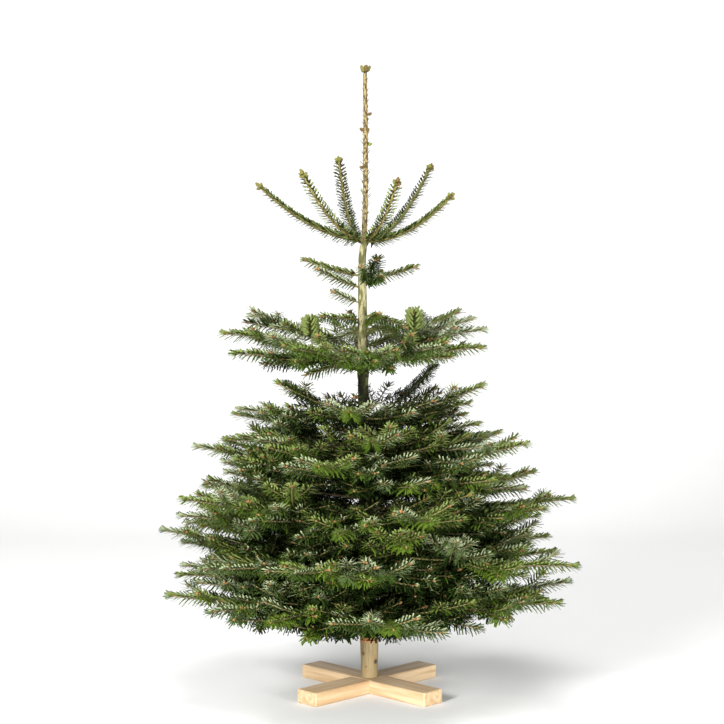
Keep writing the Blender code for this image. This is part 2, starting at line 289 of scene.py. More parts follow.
bark = Finish("fir_bark", BARK_OLIVE, 0.85, specular=0.15)
streaks = bark.noise(bark.place((1, 1, 0.22)), 95.0)
mottle = bark.noise(bark.place(), 42.0)
fine = bark.noise(bark.place((1, 1, 0.5)), 420.0)
# the old bark: dark streaks and pale mottle, all painted dark as the shade under the boughs
old = bark.mix(bark.between(streaks, 0.36, 0.60), BARK_DARK, BARK_OLIVE)
old = bark.mix(bark.between(mottle, 0.52, 0.68), old, BARK_PALE)
fresh = bark.mix(bark.between(streaks, 0.44, 0.58), YOUNG_OLIVE, YOUNG_CREAM)
base = bark.mix(bark.between(bark.height(), *YOUNG_FROM), old, fresh)
scars = bark.between(fine, 0.60, 0.68)
base = bark.mix(0.75 * scars, base, BARK_DARK)
base = bark.mix(1 - bark.between(bark.height(), *RING), base, RING_RUST)
bark.color(base)
bark.bump(streaks + 0.5 * fine, strength=0.6, distance=0.002)

leader_bark = Finish("leader_bark", LEADER_TAN, 0.6)
grain = leader_bark.noise(leader_bark.place((1, 1, 0.3)), 160.0)
spots = leader_bark.noise(leader_bark.place((1, 1, 0.55)), 170.0, 2.0)
tan = leader_bark.mix(leader_bark.between(grain, 0.35, 0.65), LEADER_SHADE, LEADER_TAN)
tan = leader_bark.mix(leader_bark.between(spots, 0.52, 0.57), tan, LEADER_SCAR)
leader_bark.color(tan)
leader_bark.bump(grain, strength=0.5, distance=0.001)

shaved_wood = Finish("shaved_wood", (0.62, 0.47, 0.27), 0.65)
fibres = shaved_wood.noise(shaved_wood.place((1, 1, 0.12)), 180.0)
patches = shaved_wood.noise(shaved_wood.place((1, 1, 0.6)), 55.0, 5.0)
cream = shaved_wood.mix(shaved_wood.between(fibres, 0.3, 0.7), WOOD_SHADE, WOOD_CREAM)
rust = shaved_wood.between(patches, 0.56, 0.64)
cream = shaved_wood.mix(0.7 * rust, cream, WOOD_RUST)
for centre, radius, color in KNOTS:
    feeds = {0: shaved_wood.place(), 1: centre}
    away = shaved_wood.node("ShaderNodeVectorMath", {"operation": "DISTANCE"}, feeds)
    spread = shaved_wood.out(away, "Value") + KNOT_BLUR * fibres
    outside = shaved_wood.between(spread, radius, radius + KNOT_BLUR)
    cream = shaved_wood.mix(1 - outside, cream, color)
edge = shaved_wood.between(shaved_wood.height() + 0.01 * fibres, *EDGE)
cream = shaved_wood.mix(edge, cream, RING_RUST)
shaved_wood.color(cream)
shaved_wood.bump(fibres, strength=0.4, distance=0.001)

bough_bark = Finish("bough_bark", (0.20, 0.15, 0.07), 0.8)
mottle = bough_bark.noise(bough_bark.place(), 120.0)
brown = bough_bark.mix(bough_bark.between(mottle, 0.35, 0.65), BOUGH_SHADE, BOUGH_TAN)
bough_bark.color(brown)
bough_bark.bump(mottle, strength=0.5, distance=0.001)
print("bark finishes:", [f.material.name for f in (bark, leader_bark, shaved_wood, bough_bark)])

# %% [markdown]
# ## The trunk's measures
#
# The trunk's line and taper are the same two tables that the plain solids were made from: a value at
# each of a few heights above the cut, with straight runs between. Each whorl of boughs swells the trunk
# a little, as branch collars do.

# %% The trunk's line and taper
GAP = 0.0003  # between the beams' top and the trunk's cut
BEAM_THICKNESS = 0.040
TREE_HEIGHT = 1.848  # from the cut to the top of the leader's bud
FOOT_HEIGHT = 0.112  # the shaved foot ends here, above the cut
CROWN_HEIGHT = 1.317  # this year's whorl, where the leader starts
BUD_HEIGHT = 1.825  # where the leader's buds start
TRUNK_LINE = (  # height above the cut, how far the axis lies to the right of the cut's middle
    (0.0, 0.0), (0.12, -0.001), (0.45, -0.011), (0.87, -0.0188), (1.14, -0.0217),
    (1.275, -0.0222), (1.33, -0.0153), (1.45, -0.0116), (1.69, -0.0113), (TREE_HEIGHT, -0.0135),
)
TRUNK_TAPER = (  # height above the cut, radius
    (0.0, 0.0250), (FOOT_HEIGHT, 0.0280), (FOOT_HEIGHT + 0.004, 0.0305), (0.20, 0.0285),
    (0.45, 0.0235), (0.75, 0.0190), (1.00, 0.0164), (1.18, 0.0139), (1.305, 0.0115),
    (1.335, 0.0072), (1.60, 0.0064), (TREE_HEIGHT, 0.0050),
)


def at_height(table, height):
    """The value at a height above the cut, from a table of (height, value) rows."""
    heights, values = zip(*table)
    return float(np.interp(height, heights, values))


def trunk_at(height):
    """The trunk's axis at a height above the cut."""
    return Vector((at_height(TRUNK_LINE, height), 0, BEAM_THICKNESS + GAP + height))


print("crown whorl leaves the trunk at", [round(v, 3) for v in trunk_at(CROWN_HEIGHT)])

# %% [markdown]
# ## The whorls
#
# A fir grows one whorl of boughs a year. The solids have one bough for each row entry below: where it
# leaves the trunk, its direction, its reach and the rise of its tip. The same rows are used again, so
# each spray grows where its solid is. Between the whorls a real tree has weaker boughs that fill the
# crown. They could all be scattered at random. Here most of them are, in bands between the whorls, and
# those that show in the outline are listed one by one. A few single shoots stand up from a bough or
# hang from it, and some stand on the bare stem below the crown. Heights are above the cut, directions
# are in degrees seen from above, and 270 faces the camera.

# %% Whorls and the boughs between them
UPTURN = 0.55  # share of a bough's rise that comes late, as it turns up to the light
UPPER_UPTURN = -0.70  # the upper boughs leave steeply and level out
Whorl = namedtuple("Whorl", "name height directions reaches rises upturns bare")
WHORLS = (  # each ends with the share of its boughs that is bare of twigs, next to the trunk
    Whorl(
        "crown", CROWN_HEIGHT, (350, 48, 108, 172, 232, 296),
        (0.265, 0.318, 0.261, 0.322, 0.283, 0.215), (0.130, 0.259, 0.285, 0.172, 0.170, 0.151),
        (1.15, 0.95, 0.95, 0.80, 0.95, 0.95), 0.0,
    ),
    Whorl(
        "upper", 0.925, (356, 50, 140, 193, 242, 303),
        (0.354, 0.430, 0.467, 0.413, 0.400, 0.390), (0.122, 0.169, 0.175, 0.110, 0.060, 0.066),
        (UPPER_UPTURN,) * 6, 0.20,
    ),
    Whorl(
        "shoulder", 0.776, (190, 264, 340, 58, 128),
        (0.366, 0.400, 0.363, 0.434, 0.407), (0.033, 0.040, 0.102, 0.159, 0.104), (UPTURN,) * 5, 0.0,
    ),
    Whorl(
        "middle", 0.625, (184, 256, 330, 42, 113),
        (0.496, 0.500, 0.517, 0.500, 0.500), (0.071, 0.050, 0.093, 0.085, 0.085), (UPTURN,) * 5, 0.0,
    ),
    Whorl(
        "broad", 0.488, (2, 73, 146, 215, 288),
        (0.617, 0.580, 0.625, 0.605, 0.560), (0.046, 0.080, 0.052, 0.082, 0.045), (UPTURN,) * 5, 0.20,
    ),
    Whorl(
        "widest", 0.350, (180, 252, 328, 37, 109),
        (0.603, 0.600, 0.664, 0.620, 0.610), (0.090, 0.050, 0.038, 0.080, 0.080), (UPTURN,) * 5, 0.20,
    ),
    Whorl(
        "lowest", 0.205, (352, 64, 136, 203, 276),
        (0.585, 0.600, 0.620, 0.606, 0.590), (0.092, 0.085, 0.080, 0.080, 0.055), (UPTURN,) * 5, 0.20,
    ),
)
SIDE_SHOOTS = (  # height, direction, reach, rise
    (1.212, 177, 0.172, 0.048), (1.200, 8, 0.160, 0.040), (1.196, 291, 0.123, 0.056),
    (1.130, 186, 0.086, 0.032), (1.176, 200, 0.140, 0.052), (1.196, 318, 0.080, 0.004),
    (1.200, 60, 0.110, 0.030), (1.198, 268, 0.105, 0.034), (1.188, 306, 0.095, 0.020),
    (1.080, 212, 0.141, 0.006), (1.066, 125, 0.070, 0.036), (1.068, 300, 0.093, 0.026),
    (1.094, 340, 0.133, -0.037), (1.050, 28, 0.110, -0.004), (1.046, 165, 0.095, -0.030),
)
FACING_LIGHT = 291  # the direction of the side shoot whose needles stand all round it
CROWN_REACH = (  # height above the cut, how far the longest boughs reach there
    (0.18, 0.56), (0.35, 0.60), (0.49, 0.58), (0.63, 0.51), (0.78, 0.39), (0.90, 0.42),
)
Band = namedtuple("Band", "group low high count least most rise bare")
BANDS = (  # weaker boughs between the whorls, least and most reach as shares of the crown's
    Band("shoulder", 0.670, 0.715, 12, 0.62, 0.90, 0.035, 0.40),
    Band("middle", 0.545, 0.640, 16, 0.60, 0.88, 0.030, 0.30),
    Band("broad", 0.385, 0.510, 22, 0.60, 0.88, 0.025, 0.05),
    Band("widest", 0.265, 0.370, 20, 0.60, 0.90, 0.020, 0.05),
    Band("lowest", 0.185, 0.245, 16, 0.60, 0.90, 0.015, 0.05),
    Band("lowest", 0.150, 0.190, 14, 0.35, 0.75, 0.0, 0.05),
)
LONE_BOUGHS = (  # group, height, direction, reach, rise, rounds of side twigs
    ("upper", 0.925, 206, 0.406, 0.050, 3), ("upper", 0.925, 343, 0.358, 0.068, 3),
    ("upper", 0.920, 272, 0.330, 0.060, 3), ("upper", 0.925, 95, 0.330, 0.140, 3),
    ("upper", 0.925, 165, 0.274, 0.132, 3), ("shoulder", 0.765, 10, 0.319, 0.058, 3),
    ("shoulder", 0.765, 24, 0.334, 0.019, 3), ("shoulder", 0.720, 350, 0.336, 0.044, 3),
    ("middle", 0.680, 195, 0.372, 0.050, 3), ("middle", 0.620, 15, 0.423, 0.108, 3),
    ("middle", 0.560, 190, 0.415, 0.091, 3), ("broad", 0.500, 25, 0.588, 0.094, 1),
    ("broad", 0.450, 200, 0.556, 0.057, 3), ("broad", 0.440, 168, 0.554, 0.010, 3),
    ("widest", 0.360, 8, 0.550, 0.051, 3), ("widest", 0.330, 172, 0.558, 0.063, 3),
    ("lowest", 0.275, 188, 0.537, 0.070, 3), ("lowest", 0.250, 205, 0.531, 0.070, 3),
    ("lowest", 0.215, 340, 0.572, 0.042, 3), ("shoulder", 0.776, 72, 0.252, 0.099, 2),
    ("shoulder", 0.770, 108, 0.236, 0.073, 2), ("shoulder", 0.740, 183, 0.378, 0.052, 2),
    ("shoulder", 0.740, 215, 0.264, 0.078, 2), ("middle", 0.600, 173, 0.406, 0.103, 2),
    ("middle", 0.540, 199, 0.418, 0.087, 2), ("broad", 0.450, 351, 0.529, 0.064, 2),
    ("widest", 0.330, 345, 0.550, 0.066, 2), ("widest", 0.300, 196, 0.557, 0.031, 2),
    ("lowest", 0.230, 214, 0.524, 0.020, 2), ("lowest", 0.200, 318, 0.407, 0.001, 2),
)
Sprig = namedtuple("Sprig", "whorl bough share direction climb length")
SPRIGS = (  # single shoots that stand up from a bough, or hang from it
    Sprig("upper", 3, 0.38, 265, 64, 0.088), Sprig("upper", 0, 0.43, 275, 72, 0.096),
    Sprig("upper", 4, 0.30, 192, -24, 0.120), Sprig("upper", 4, 0.55, 250, 35, 0.090),
    Sprig("upper", 5, 0.55, 285, 32, 0.090), Sprig("upper", 5, 0.30, 280, -22, 0.090),
    Sprig("shoulder", 1, 0.35, 262, 38, 0.100), Sprig("lowest", 0, 0.62, 325, -42, 0.095),
    Sprig("lowest", 0, 0.80, 338, -32, 0.085), Sprig("lowest", 4, 0.30, 265, -40, 0.080),
    Sprig("lowest", 3, 0.50, 235, -38, 0.090),
)
weaker = sum(band.count for band in BANDS) + len(LONE_BOUGHS)
print("whorl boughs:", sum(len(w.directions) for w in WHORLS), "weaker ones:", weaker)

# %% [markdown]
# ## Drawing the trunk out
#
# The trunk could be a curve with a bevel, but a curve can't be sawn off flat or step in where the bark
# was shaved away. So each of its three stretches is a cylinder's first slice that is extruded upwards,
# a short step at a time. Each step moves the ring along the trunk's line and scales it to the radius
# there. The relief is then pushed out of the surface by Displace modifiers, which are applied.

# %% Trunk: foot, barked stem and leader
RING_STEP = 0.008
COLLAR = 0.0022  # how far a whorl swells the trunk
COLLAR_SPAN = 0.014
AT_TOP = 1e-5  # how near the top a corner lies to be on it
SMOOTH_ANGLE = math.radians(50)  # an edge that turns more than this stays sharp
SIDES = {"shaved_foot": 40, "barked_trunk": 56, "leader": 20}


def trunk_radius(height):
    """The trunk's radius at a height above the cut, with a collar at each whorl."""
    collar = sum(math.exp(-(((height - w.height) / COLLAR_SPAN) ** 2)) for w in WHORLS[1:])
    return at_height(TRUNK_TAPER, height) + COLLAR * collar


def relief(obj, kind, size, strength):
    """Pushes a lively surface out of an object with one Displace modifier, and applies it."""
    texture = bpy.data.textures.new(f"{obj.name}_{kind.lower()}", type=kind)
    texture.noise_scale = size
    push = obj.modifiers.new("relief", "DISPLACE")
    push.texture = texture
    push.texture_coords = "LOCAL"
    push.strength = strength
    push.mid_level = 0.5
    bpy.context.view_layer.objects.active = obj
    bpy.ops.object.modifier_apply(modifier=push.name)


def draw_trunk(name, low, high):
    """Extrudes a round stretch of trunk from low to high, both above the cut."""
    bpy.ops.object.select_all(action="DESELECT")
    count = max(2, math.ceil((high - low) / RING_STEP))
    heights = [low + (high - low) * i / count for i in range(count + 1)]
    first, second = trunk_at(heights[0]), trunk_at(heights[1])
    bpy.ops.mesh.primitive_cylinder_add(
        vertices=SIDES[name], radius=trunk_radius(low), depth=second.z - first.z,
        location=(first.x, 0, (first.z + second.z) / 2),
    )
    obj = bpy.context.object
    obj.name = name
    bpy.ops.object.transform_apply()
    top = max(v.co.z for v in obj.data.vertices)
    for face in obj.data.polygons:
        face.select = all(obj.data.vertices[v].co.z > top - AT_TOP for v in face.vertices)
    bpy.ops.object.mode_set(mode="EDIT")
    bpy.ops.mesh.select_mode(type="FACE")
    for below, here in zip(heights[1:], heights[2:]):
        step = trunk_at(here) - trunk_at(below)
        grown = trunk_radius(here) / trunk_radius(below)
        bpy.ops.mesh.extrude_region_move(TRANSFORM_OT_translate={"value": step})
        bpy.ops.transform.resize(value=(grown, grown, 1), center_override=trunk_at(here))
    bpy.ops.object.mode_set(mode="OBJECT")
    return obj


foot = draw_trunk("shaved_foot", 0.0, FOOT_HEIGHT)
relief(foot, "CLOUDS", size=0.030, strength=0.0016)
stem = draw_trunk("barked_trunk", FOOT_HEIGHT, CROWN_HEIGHT + 0.012)
relief(stem, "CLOUDS", size=0.014, strength=0.0022)
relief(stem, "VORONOI", size=0.009, strength=0.0010)
leader = draw_trunk("leader", CROWN_HEIGHT, BUD_HEIGHT)
relief(leader, "CLOUDS", size=0.008, strength=0.0011)
for obj, finish in ((foot, shaved_wood), (stem, bark), (leader, leader_bark)):
    dress(obj, finish)
    bpy.context.view_layer.objects.active = obj
    obj.select_set(True)
    bpy.ops.object.shade_smooth_by_angle(angle=SMOOTH_ANGLE)
    obj.select_set(False)
    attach(obj, "root")
    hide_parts("trunk")
    print(obj.name, len(obj.data.polygons), "faces")

# %% [markdown]
# ## The growth rule
#
# Every axis of the tree, from a bough down to the finest twig, follows one rule. A fir adds one shoot
# each year to the end of each axis, and where the years meet it puts out a pair of side twigs at about
# 52 degrees. So the pairs are counted back from the tip, one year's growth apart, and a twig is about
# seven tenths as long as what its parent has grown beyond it. That leaves each axis with a straight bare
# end shoot, which is what makes a fir's outline look like fingers. The side twigs follow the rule again,
# until they would be too short. The plain solids stop after one round. Here the rule runs further.
#
# The lowest twigs of a cut tree don't hang to the floor: they end along a hem that climbs outwards. A
# line that would end below it is bent up to it, so no bough is left as a bare stick.
#
# A library of leaves could be scattered by Geometry Nodes, but then the tips would fall anywhere. A
# written rule puts buds at tips and forks where they belong. First come the rule's numbers and the lines
# that axes follow.

# %% The growth rule's numbers, and the lines of its axes
SEED = 7
SWAY = 0.012  # of a bough to one side, in metres
STEM_RADIUS = 0.0066  # of a bough 0.6 m long, less in a shorter one
LONG_REACH = 0.60
TIP_RADIUS = 0.0014
CROWN_TIP_RADIUS = 0.0042
TWIG_SWELL = 0.0022  # how much thicker than its tip a twig of SWELL_LENGTH is at its root
SWELL_LENGTH = 0.30
TWIG_ANGLE = 52
ANGLE_PLAY = 8  # degrees, either way
TWIG_SHARE = (0.74, 0.70, 0.62)  # a twig's length as a share of its parent beyond it, by round
YEAR = (0.122, 0.105, 0.090)  # how much an axis grows in a year, by round
YEAR_PLAY = 0.12  # as a share of it, either way
PAIR_STEP = 0.006  # how far apart along the axis the two twigs of a pair sit
TWIG_LEAST = 0.062  # a shorter twig isn't grown
LOST_TWIG = 0.05  # how often a twig is missing
ODD_TWIG = 0.35  # how often a short twig grows between two pairs
ODD_SHARE = 0.55  # its length as a share of the usual one
TWIG_UPTURN = 0.10  # how far a twig's tip turns up, as a share of its length
TWIG_SWAY = 0.04  # and how far its middle wanders to one side
TWIG_TILTS = (0.20, -0.16)  # up and down in turn, so that the twigs of a spray don't lie in one plane
UPTURN_PLAY, TILT_PLAY = (0.2, 1.6), (0.3, 1.3)  # the least and most of these, as a share of the usual
LENGTH_PLAY = (0.85, 1.1)  # and of a twig's length
ODD_PLACE = (0.3, 0.6)  # how far past a pair an odd twig sits, as a share of the year
TWIG_END = 0.9  # a twig's radius at its end, as a share of TIP_RADIUS
HEM_HEIGHT = 0.148  # no twig ends lower than this by the trunk, above the floor
HEM_SLOPE = 0.15  # how much the hem climbs for each metre away from it
HEM_FRONT = 0.11  # and how much more for each metre towards the front
HEM_FRINGE = 0.028  # how uneven the hem is
POINT_STEP = 0.030  # between the points of an axis
BOUGH_POINTS, TWIG_POINTS = 6, 4  # the fewest that a line has
GOLDEN_TURN = 137.508  # degrees
DEEP, MID, FRESH, BLUE, CROWN, SCALE, SHADE = range(7)  # the needles' colours
TONES = (DEEP, DEEP, MID, MID, FRESH, FRESH, FRESH, BLUE)  # what a spray is dealt from
LOW_TONES = (DEEP, FRESH, FRESH, FRESH, BLUE, BLUE)  # the two lowest groups
# one spray in six of the upper whorl gets the nearly black green, as painted shade
HIGH_TONES = (DEEP, MID, MID, FRESH, BLUE, SHADE)  # the upper whorl
SIDE_TONES = (DEEP, MID)
Axis = namedtuple("Axis", "points radii round group tone habit")
UP = np.array((0.0, 0.0, 1.0))
axes = []


def bough_line(height, direction, reach, rise, upturn, rng):
    """The points of a bough's line from the trunk's axis to its tip."""
    start = np.array(trunk_at(height))
    angle = math.radians(direction)
    out = np.array((math.cos(angle), math.sin(angle), 0.0))
    aside = np.array((-out[1], out[0], 0.0))
    sway = SWAY * rng.uniform(-1, 1)
    share = np.linspace(0, 1, max(BOUGH_POINTS, round(reach / POINT_STEP)))[:, None]
    lift = rise * ((1 - upturn) * share + upturn * share * share)
    return start + out * reach * share + aside * sway * np.sin(math.pi * share) + lift * UP


def twig_line(root, direction, length, rng):
    """The points of a twig, which turns up towards its tip and wanders a little."""
    share = np.linspace(0, 1, max(TWIG_POINTS, round(length / POINT_STEP) + 1))[:, None]
    up = np.array((0, 0, TWIG_UPTURN * length * rng.uniform(*UPTURN_PLAY)))
    aside = np.array((-direction[1], direction[0], 0)) * TWIG_SWAY * length * rng.uniform(-1, 1)
    return root + direction * length * share + up * share**2 + aside * np.sin(math.pi * share)


def along(points, share):
    """The point at a share of an axis, and the axis's direction there."""
    place = share * (len(points) - 1)
    i = min(int(place), len(points) - 2)
    forward = points[i + 1] - points[i]
    return points[i] + forward * (place - i), forward / np.linalg.norm(forward)


def length_of(points):
    return float(np.linalg.norm(np.diff(points, axis=0), axis=1).sum())


def hem_at(point):
    """The least height of a twig's tip at this distance from the trunk."""
    x, y, _ = point
    return HEM_HEIGHT + HEM_SLOPE * math.hypot(x, y) + HEM_FRONT * max(0.0, -y)


def lifted(points, rng):
    """The same line, its tip raised to about the hem if it would end lower."""
    short = max(0.0, hem_at(points[-1]) + rng.uniform(-HEM_FRINGE, HEM_FRINGE) - points[-1][2])
    return points + short * np.linspace(0, 1, len(points))[:, None] * UP


hem = [round(hem_at((x, 0, 0)), 3) for x in (0, 0.5)]
print("the hem by the trunk and half a metre out:", hem, "m above the floor")

# %% [markdown]
# ## Side twigs, round by round
#
# A real spray is nearly flat, but its twigs tilt up and down a little in turn, and a few are missing or
# small. Every twig could be listed, as the whorls are. There are thousands, so one function puts
# the twigs on an axis and then calls itself for each of them. The chance in it comes from a generator
# with a seed of its own for each bough, so a change to one bough leaves the others as they were.
#
# A spray also has one green of its own, from dark to bluish, and the twigs of a spray share it.

# %% Side twigs and their twigs
def deal_tone(group, rng):
    dealt = {"side": SIDE_TONES, "upper": HIGH_TONES, "widest": LOW_TONES, "lowest": LOW_TONES}
    return rng.choice(dealt.get(group, TONES))


def branch(parent, start, depth, tilts, rng):
    """Grows the side twigs of an axis, and theirs, for as many rounds as depth."""
    if depth == 0:
        return
    length = length_of(parent.points)
    year = YEAR[parent.round]
    places = []  # distance from the tip, side, share of the usual length
    for k in range(int(length * (1 - start) / year)):
        beyond = year * (k + 1 + rng.uniform(-YEAR_PLAY, YEAR_PLAY))
        places += [(beyond, 1, 1.0), (beyond + PAIR_STEP, -1, 1.0)]
        if k > 0 and rng.random() < ODD_TWIG:
            places.append((beyond - year * rng.uniform(*ODD_PLACE), rng.choice((1, -1)), ODD_SHARE))
    for k, (beyond, way, grown) in enumerate(places):
        if beyond > length * (1 - start):
            continue
        root, forward = along(parent.points, 1 - beyond / length)
        aside = np.array((-forward[1], forward[0], 0.0))
        aside /= max(1e-6, np.linalg.norm(aside))
        angle = math.radians(TWIG_ANGLE + rng.uniform(-ANGLE_PLAY, ANGLE_PLAY))
        direction = forward * math.cos(angle) + aside * way * math.sin(angle)
        direction[2] += tilts[k // 2 % 2] * rng.uniform(*TILT_PLAY)
        direction /= np.linalg.norm(direction)
        reach = TWIG_SHARE[parent.round] * beyond * grown * rng.uniform(*LENGTH_PLAY)
        if reach < TWIG_LEAST or rng.random() < LOST_TWIG:
            continue
        tone = deal_tone(parent.group, rng) if parent.round == 0 else parent.tone
        points = lifted(twig_line(root, direction, reach, rng), rng)
        root_radius = TIP_RADIUS + TWIG_SWELL * min(1.0, reach / SWELL_LENGTH)
        radii = np.linspace(root_radius, TIP_RADIUS * TWIG_END, len(points))
        twig = Axis(points, radii, parent.round + 1, parent.group, tone, parent.habit)
        axes.append(twig)
        branch(twig, 0.0, depth - 1, TWIG_TILTS, rng)


def grow_bough(group, line, start, depth, tilts, habit, rng):
    """Adds a bough along a line, and grows its twigs. The first share of it, start, stays bare."""
    root_radius = STEM_RADIUS * math.sqrt(length_of(line) / LONG_REACH)
    tip_radius = CROWN_TIP_RADIUS if habit == "crown" else TIP_RADIUS
    tone = deal_tone(group, rng)
    # brushes, at the back of the shoulder whorl and on the side shoot that stands free, get the nearly
    # black green as painted shade
    tone = SHADE if habit == "brush" else tone
    bough = Axis(line, np.linspace(root_radius, tip_radius, len(line)), 0, group, tone, habit)
    axes.append(bough)
    branch(bough, start, depth, tilts, rng)


print("twigs are at least", TWIG_LEAST, "m long, in", len(YEAR), "rounds at most")

# %% [markdown]
# ## Growing every axis
#
# What grows where follows the tables above. The boughs of the whorls come first, then the weaker ones in
# their bands, the lone ones, the sprigs and the side shoots. The boughs of a band are dealt round the
# trunk by the golden angle, so that however many there are, none hides straight behind another.
#
# A bough's habit says how it wears its needles. Most are full. The upper whorl is airy, as it has the
# most light. At the back of the shoulder whorl the boughs have no side twigs, and stand up dark: they
# wear the nearly black green as painted shade, and so does the side shoot whose needles stand all round
# it.

# %% All boughs, shoots and the leader
FULL_TILTS, AIRY_TILTS = (0.24, -0.20), (0.08, -0.14)
BAND_TILTS = (0.26, -0.22)
BAND_RISE_PLAY = (-0.02, 0.03)  # metres
LONE_TILTS, LONE_AIRY_TILTS = (0.16, -0.20), (0.06, -0.16)
LONE_BARE, LONE_AIRY_BARE = 0.15, 0.30
AIRY_BACK_BARE = 0.35
ROUNDS = 3
LADDER = 0.618  # of a band's height, from one of its boughs to the next
FIRST_TURN, BAND_TURN = 30, 47  # where the first band starts, and each further one after the last
SPRIG_RADIUS = 0.0026
FAN_CLIMB = 60  # a sprig that climbs as steeply as this ends in a fan
LEADER_START, LEADER_POINTS = 0.015, 24

lines = {}
for whorl in WHORLS:
    for i, direction in enumerate(whorl.directions):
        rng = random.Random(f"{SEED} {whorl.name} {i}")
        reach, rise, upturn = whorl.reaches[i], whorl.rises[i], whorl.upturns[i]
        line = bough_line(whorl.height, direction, reach, rise, upturn, rng)
        lines[whorl.name, i] = line
        behind = direction < 180
        habit = {"crown": "crown", "upper": "airy"}.get(whorl.name, "full")
        if whorl.name == "shoulder" and behind:
            habit = "brush"
        depth = 0 if habit in ("crown", "brush") else ROUNDS
        start = AIRY_BACK_BARE if habit == "airy" and behind else whorl.bare
        tilts = AIRY_TILTS if habit == "airy" else FULL_TILTS
        grow_bough(whorl.name, line, start, depth, tilts, habit, rng)
for k, band in enumerate(BANDS):
    for i in range(band.count):
        rng = random.Random(f"{SEED} {band.group} weaker {i}")
        height = band.low + (band.high - band.low) * (i * LADDER % 1.0)
        direction = FIRST_TURN + BAND_TURN * k + GOLDEN_TURN * i
        reach = at_height(CROWN_REACH, height) * rng.uniform(band.least, band.most)
        rise = band.rise + rng.uniform(*BAND_RISE_PLAY)
        line = lifted(bough_line(height, direction, reach, rise, UPTURN, rng), rng)
        grow_bough(band.group, line, band.bare, ROUNDS, BAND_TILTS, "full", rng)
for group, height, direction, reach, rise, depth in LONE_BOUGHS:
    rng = random.Random(f"{SEED} lone {direction}")
    if group == "upper":
        line = bough_line(height, direction, reach, rise, UPPER_UPTURN, rng)
        grow_bough(group, line, LONE_AIRY_BARE, depth, LONE_AIRY_TILTS, "airy", rng)
    else:
        line = bough_line(height, direction, reach, rise, UPTURN, rng)
        grow_bough(group, line, LONE_BARE, depth, LONE_TILTS, "full", rng)
for i, sprig in enumerate(SPRIGS):
    rng = random.Random(f"{SEED} sprig {i}")
    root, _ = along(lines[sprig.whorl, sprig.bough], sprig.share)
    turn, climb = math.radians(sprig.direction), math.radians(sprig.climb)
    ahead = (math.cos(turn) * math.cos(climb), math.sin(turn) * math.cos(climb), math.sin(climb))
    points = twig_line(root, np.array(ahead), sprig.length, rng)
    radii = np.linspace(SPRIG_RADIUS, TIP_RADIUS, len(points))
    tone, habit = (FRESH, "fan") if sprig.climb >= FAN_CLIMB else (MID, "stout")
    axes.append(Axis(points, radii, 1, sprig.whorl, tone, habit))
for i, (height, direction, reach, rise) in enumerate(SIDE_SHOOTS):
    rng = random.Random(f"{SEED} side {i}")
    line = bough_line(height, direction, reach, rise, UPTURN, rng)
    habit = "brush" if direction == FACING_LIGHT else "stout"
    grow_bough("side", line, 0.0, 0, FULL_TILTS, habit, rng)
heights = np.linspace(CROWN_HEIGHT + LEADER_START, BUD_HEIGHT, LEADER_POINTS)
points = np.array([trunk_at(height) for height in heights])
radii = np.array([at_height(TRUNK_TAPER, height) for height in heights])
axes += [Axis(points, radii, 0, "crown", CROWN, habit) for habit in ("leader", "scales")]
axes += [axis._replace(habit="scales") for axis in axes if axis.habit == "crown"]
total = sum(length_of(axis.points) for axis in axes)
by_round = [sum(axis.round == r for axis in axes) for r in range(ROUNDS + 1)]
print(len(axes), "axes,", round(total, 1), "m in all, by round:", by_round)

# %% [markdown]
# ## Bark on boughs and twigs
#
# A tube along each axis could be skinned by hand. A curve with a bevel does it in one step: one spline
# for each axis, whose points carry their own radius. Converting the curve gives a plain mesh. The boughs
# are few and thick, so they get eight sides and a relief. The twigs are thousands, and get four.

# %% Tubes along the axes
LONG_GROUPS = ("broad", "widest", "lowest")
GROUPS = ("crown", "side", "upper", "shoulder", "middle", "broad", "widest", "lowest")
REPLACED = {g: sorted(n for n in nodes if n.startswith(f"{g}_foliage")) for g in GROUPS}
REPLACED["side"] = sorted(n for n in nodes if n.startswith("side_shoot"))
BARE_NODES = sorted(n for n in nodes if "_bough_" in n)
THIN_HABITS = ("crown", "stout", "brush")  # of boughs as thin as twigs
TUBE_SMOOTH_ANGLE = math.radians(60)

CROWN_TWIG, CROWN_TWIG_SCAR = (0.235, 0.192, 0.048), (0.09, 0.076, 0.017)
twig_yellow = Finish("crown_twig", (0.230, 0.175, 0.060), 0.6)
mottle = twig_yellow.noise(twig_yellow.place(), 210.0)
scarred = twig_yellow.between(mottle, 0.44, 0.62)
twig_yellow.color(twig_yellow.mix(scarred, CROWN_TWIG, CROWN_TWIG_SCAR))
twig_green = Finish("young_twig", (0.250, 0.215, 0.075), 0.7)
twig_brown = Finish("older_twig", (0.140, 0.105, 0.045), 0.8)


def tubes(name, chosen, smoothness, finishes):
    """One mesh of round tapering limbs, one for each axis."""
    curve = bpy.data.curves.new(name, "CURVE")
    curve.dimensions = "3D"
    curve.bevel_depth = 1.0  # so that a point's radius is in metres
    curve.bevel_resolution = smoothness
    curve.use_fill_caps = True
    for axis in chosen:
        spline = curve.splines.new("POLY")
        spline.points.add(len(axis.points) - 1)
        places = np.column_stack((axis.points, np.ones(len(axis.points))))
        spline.points.foreach_set("co", places.ravel())
        spline.points.foreach_set("radius", axis.radii)
        spline.material_index = min(axis.round, len(finishes) - 1)
    obj = bpy.data.objects.new(name, curve)
    bpy.context.scene.collection.objects.link(obj)
    for finish in finishes:
        curve.materials.append(finish.material)
    bpy.ops.object.select_all(action="DESELECT")
    bpy.context.view_layer.objects.active = obj
    obj.select_set(True)
    bpy.ops.object.convert(target="MESH")
    obj = bpy.context.object
    bpy.ops.object.shade_smooth_by_angle(angle=TUBE_SMOOTH_ANGLE)
    obj.select_set(False)
    return obj


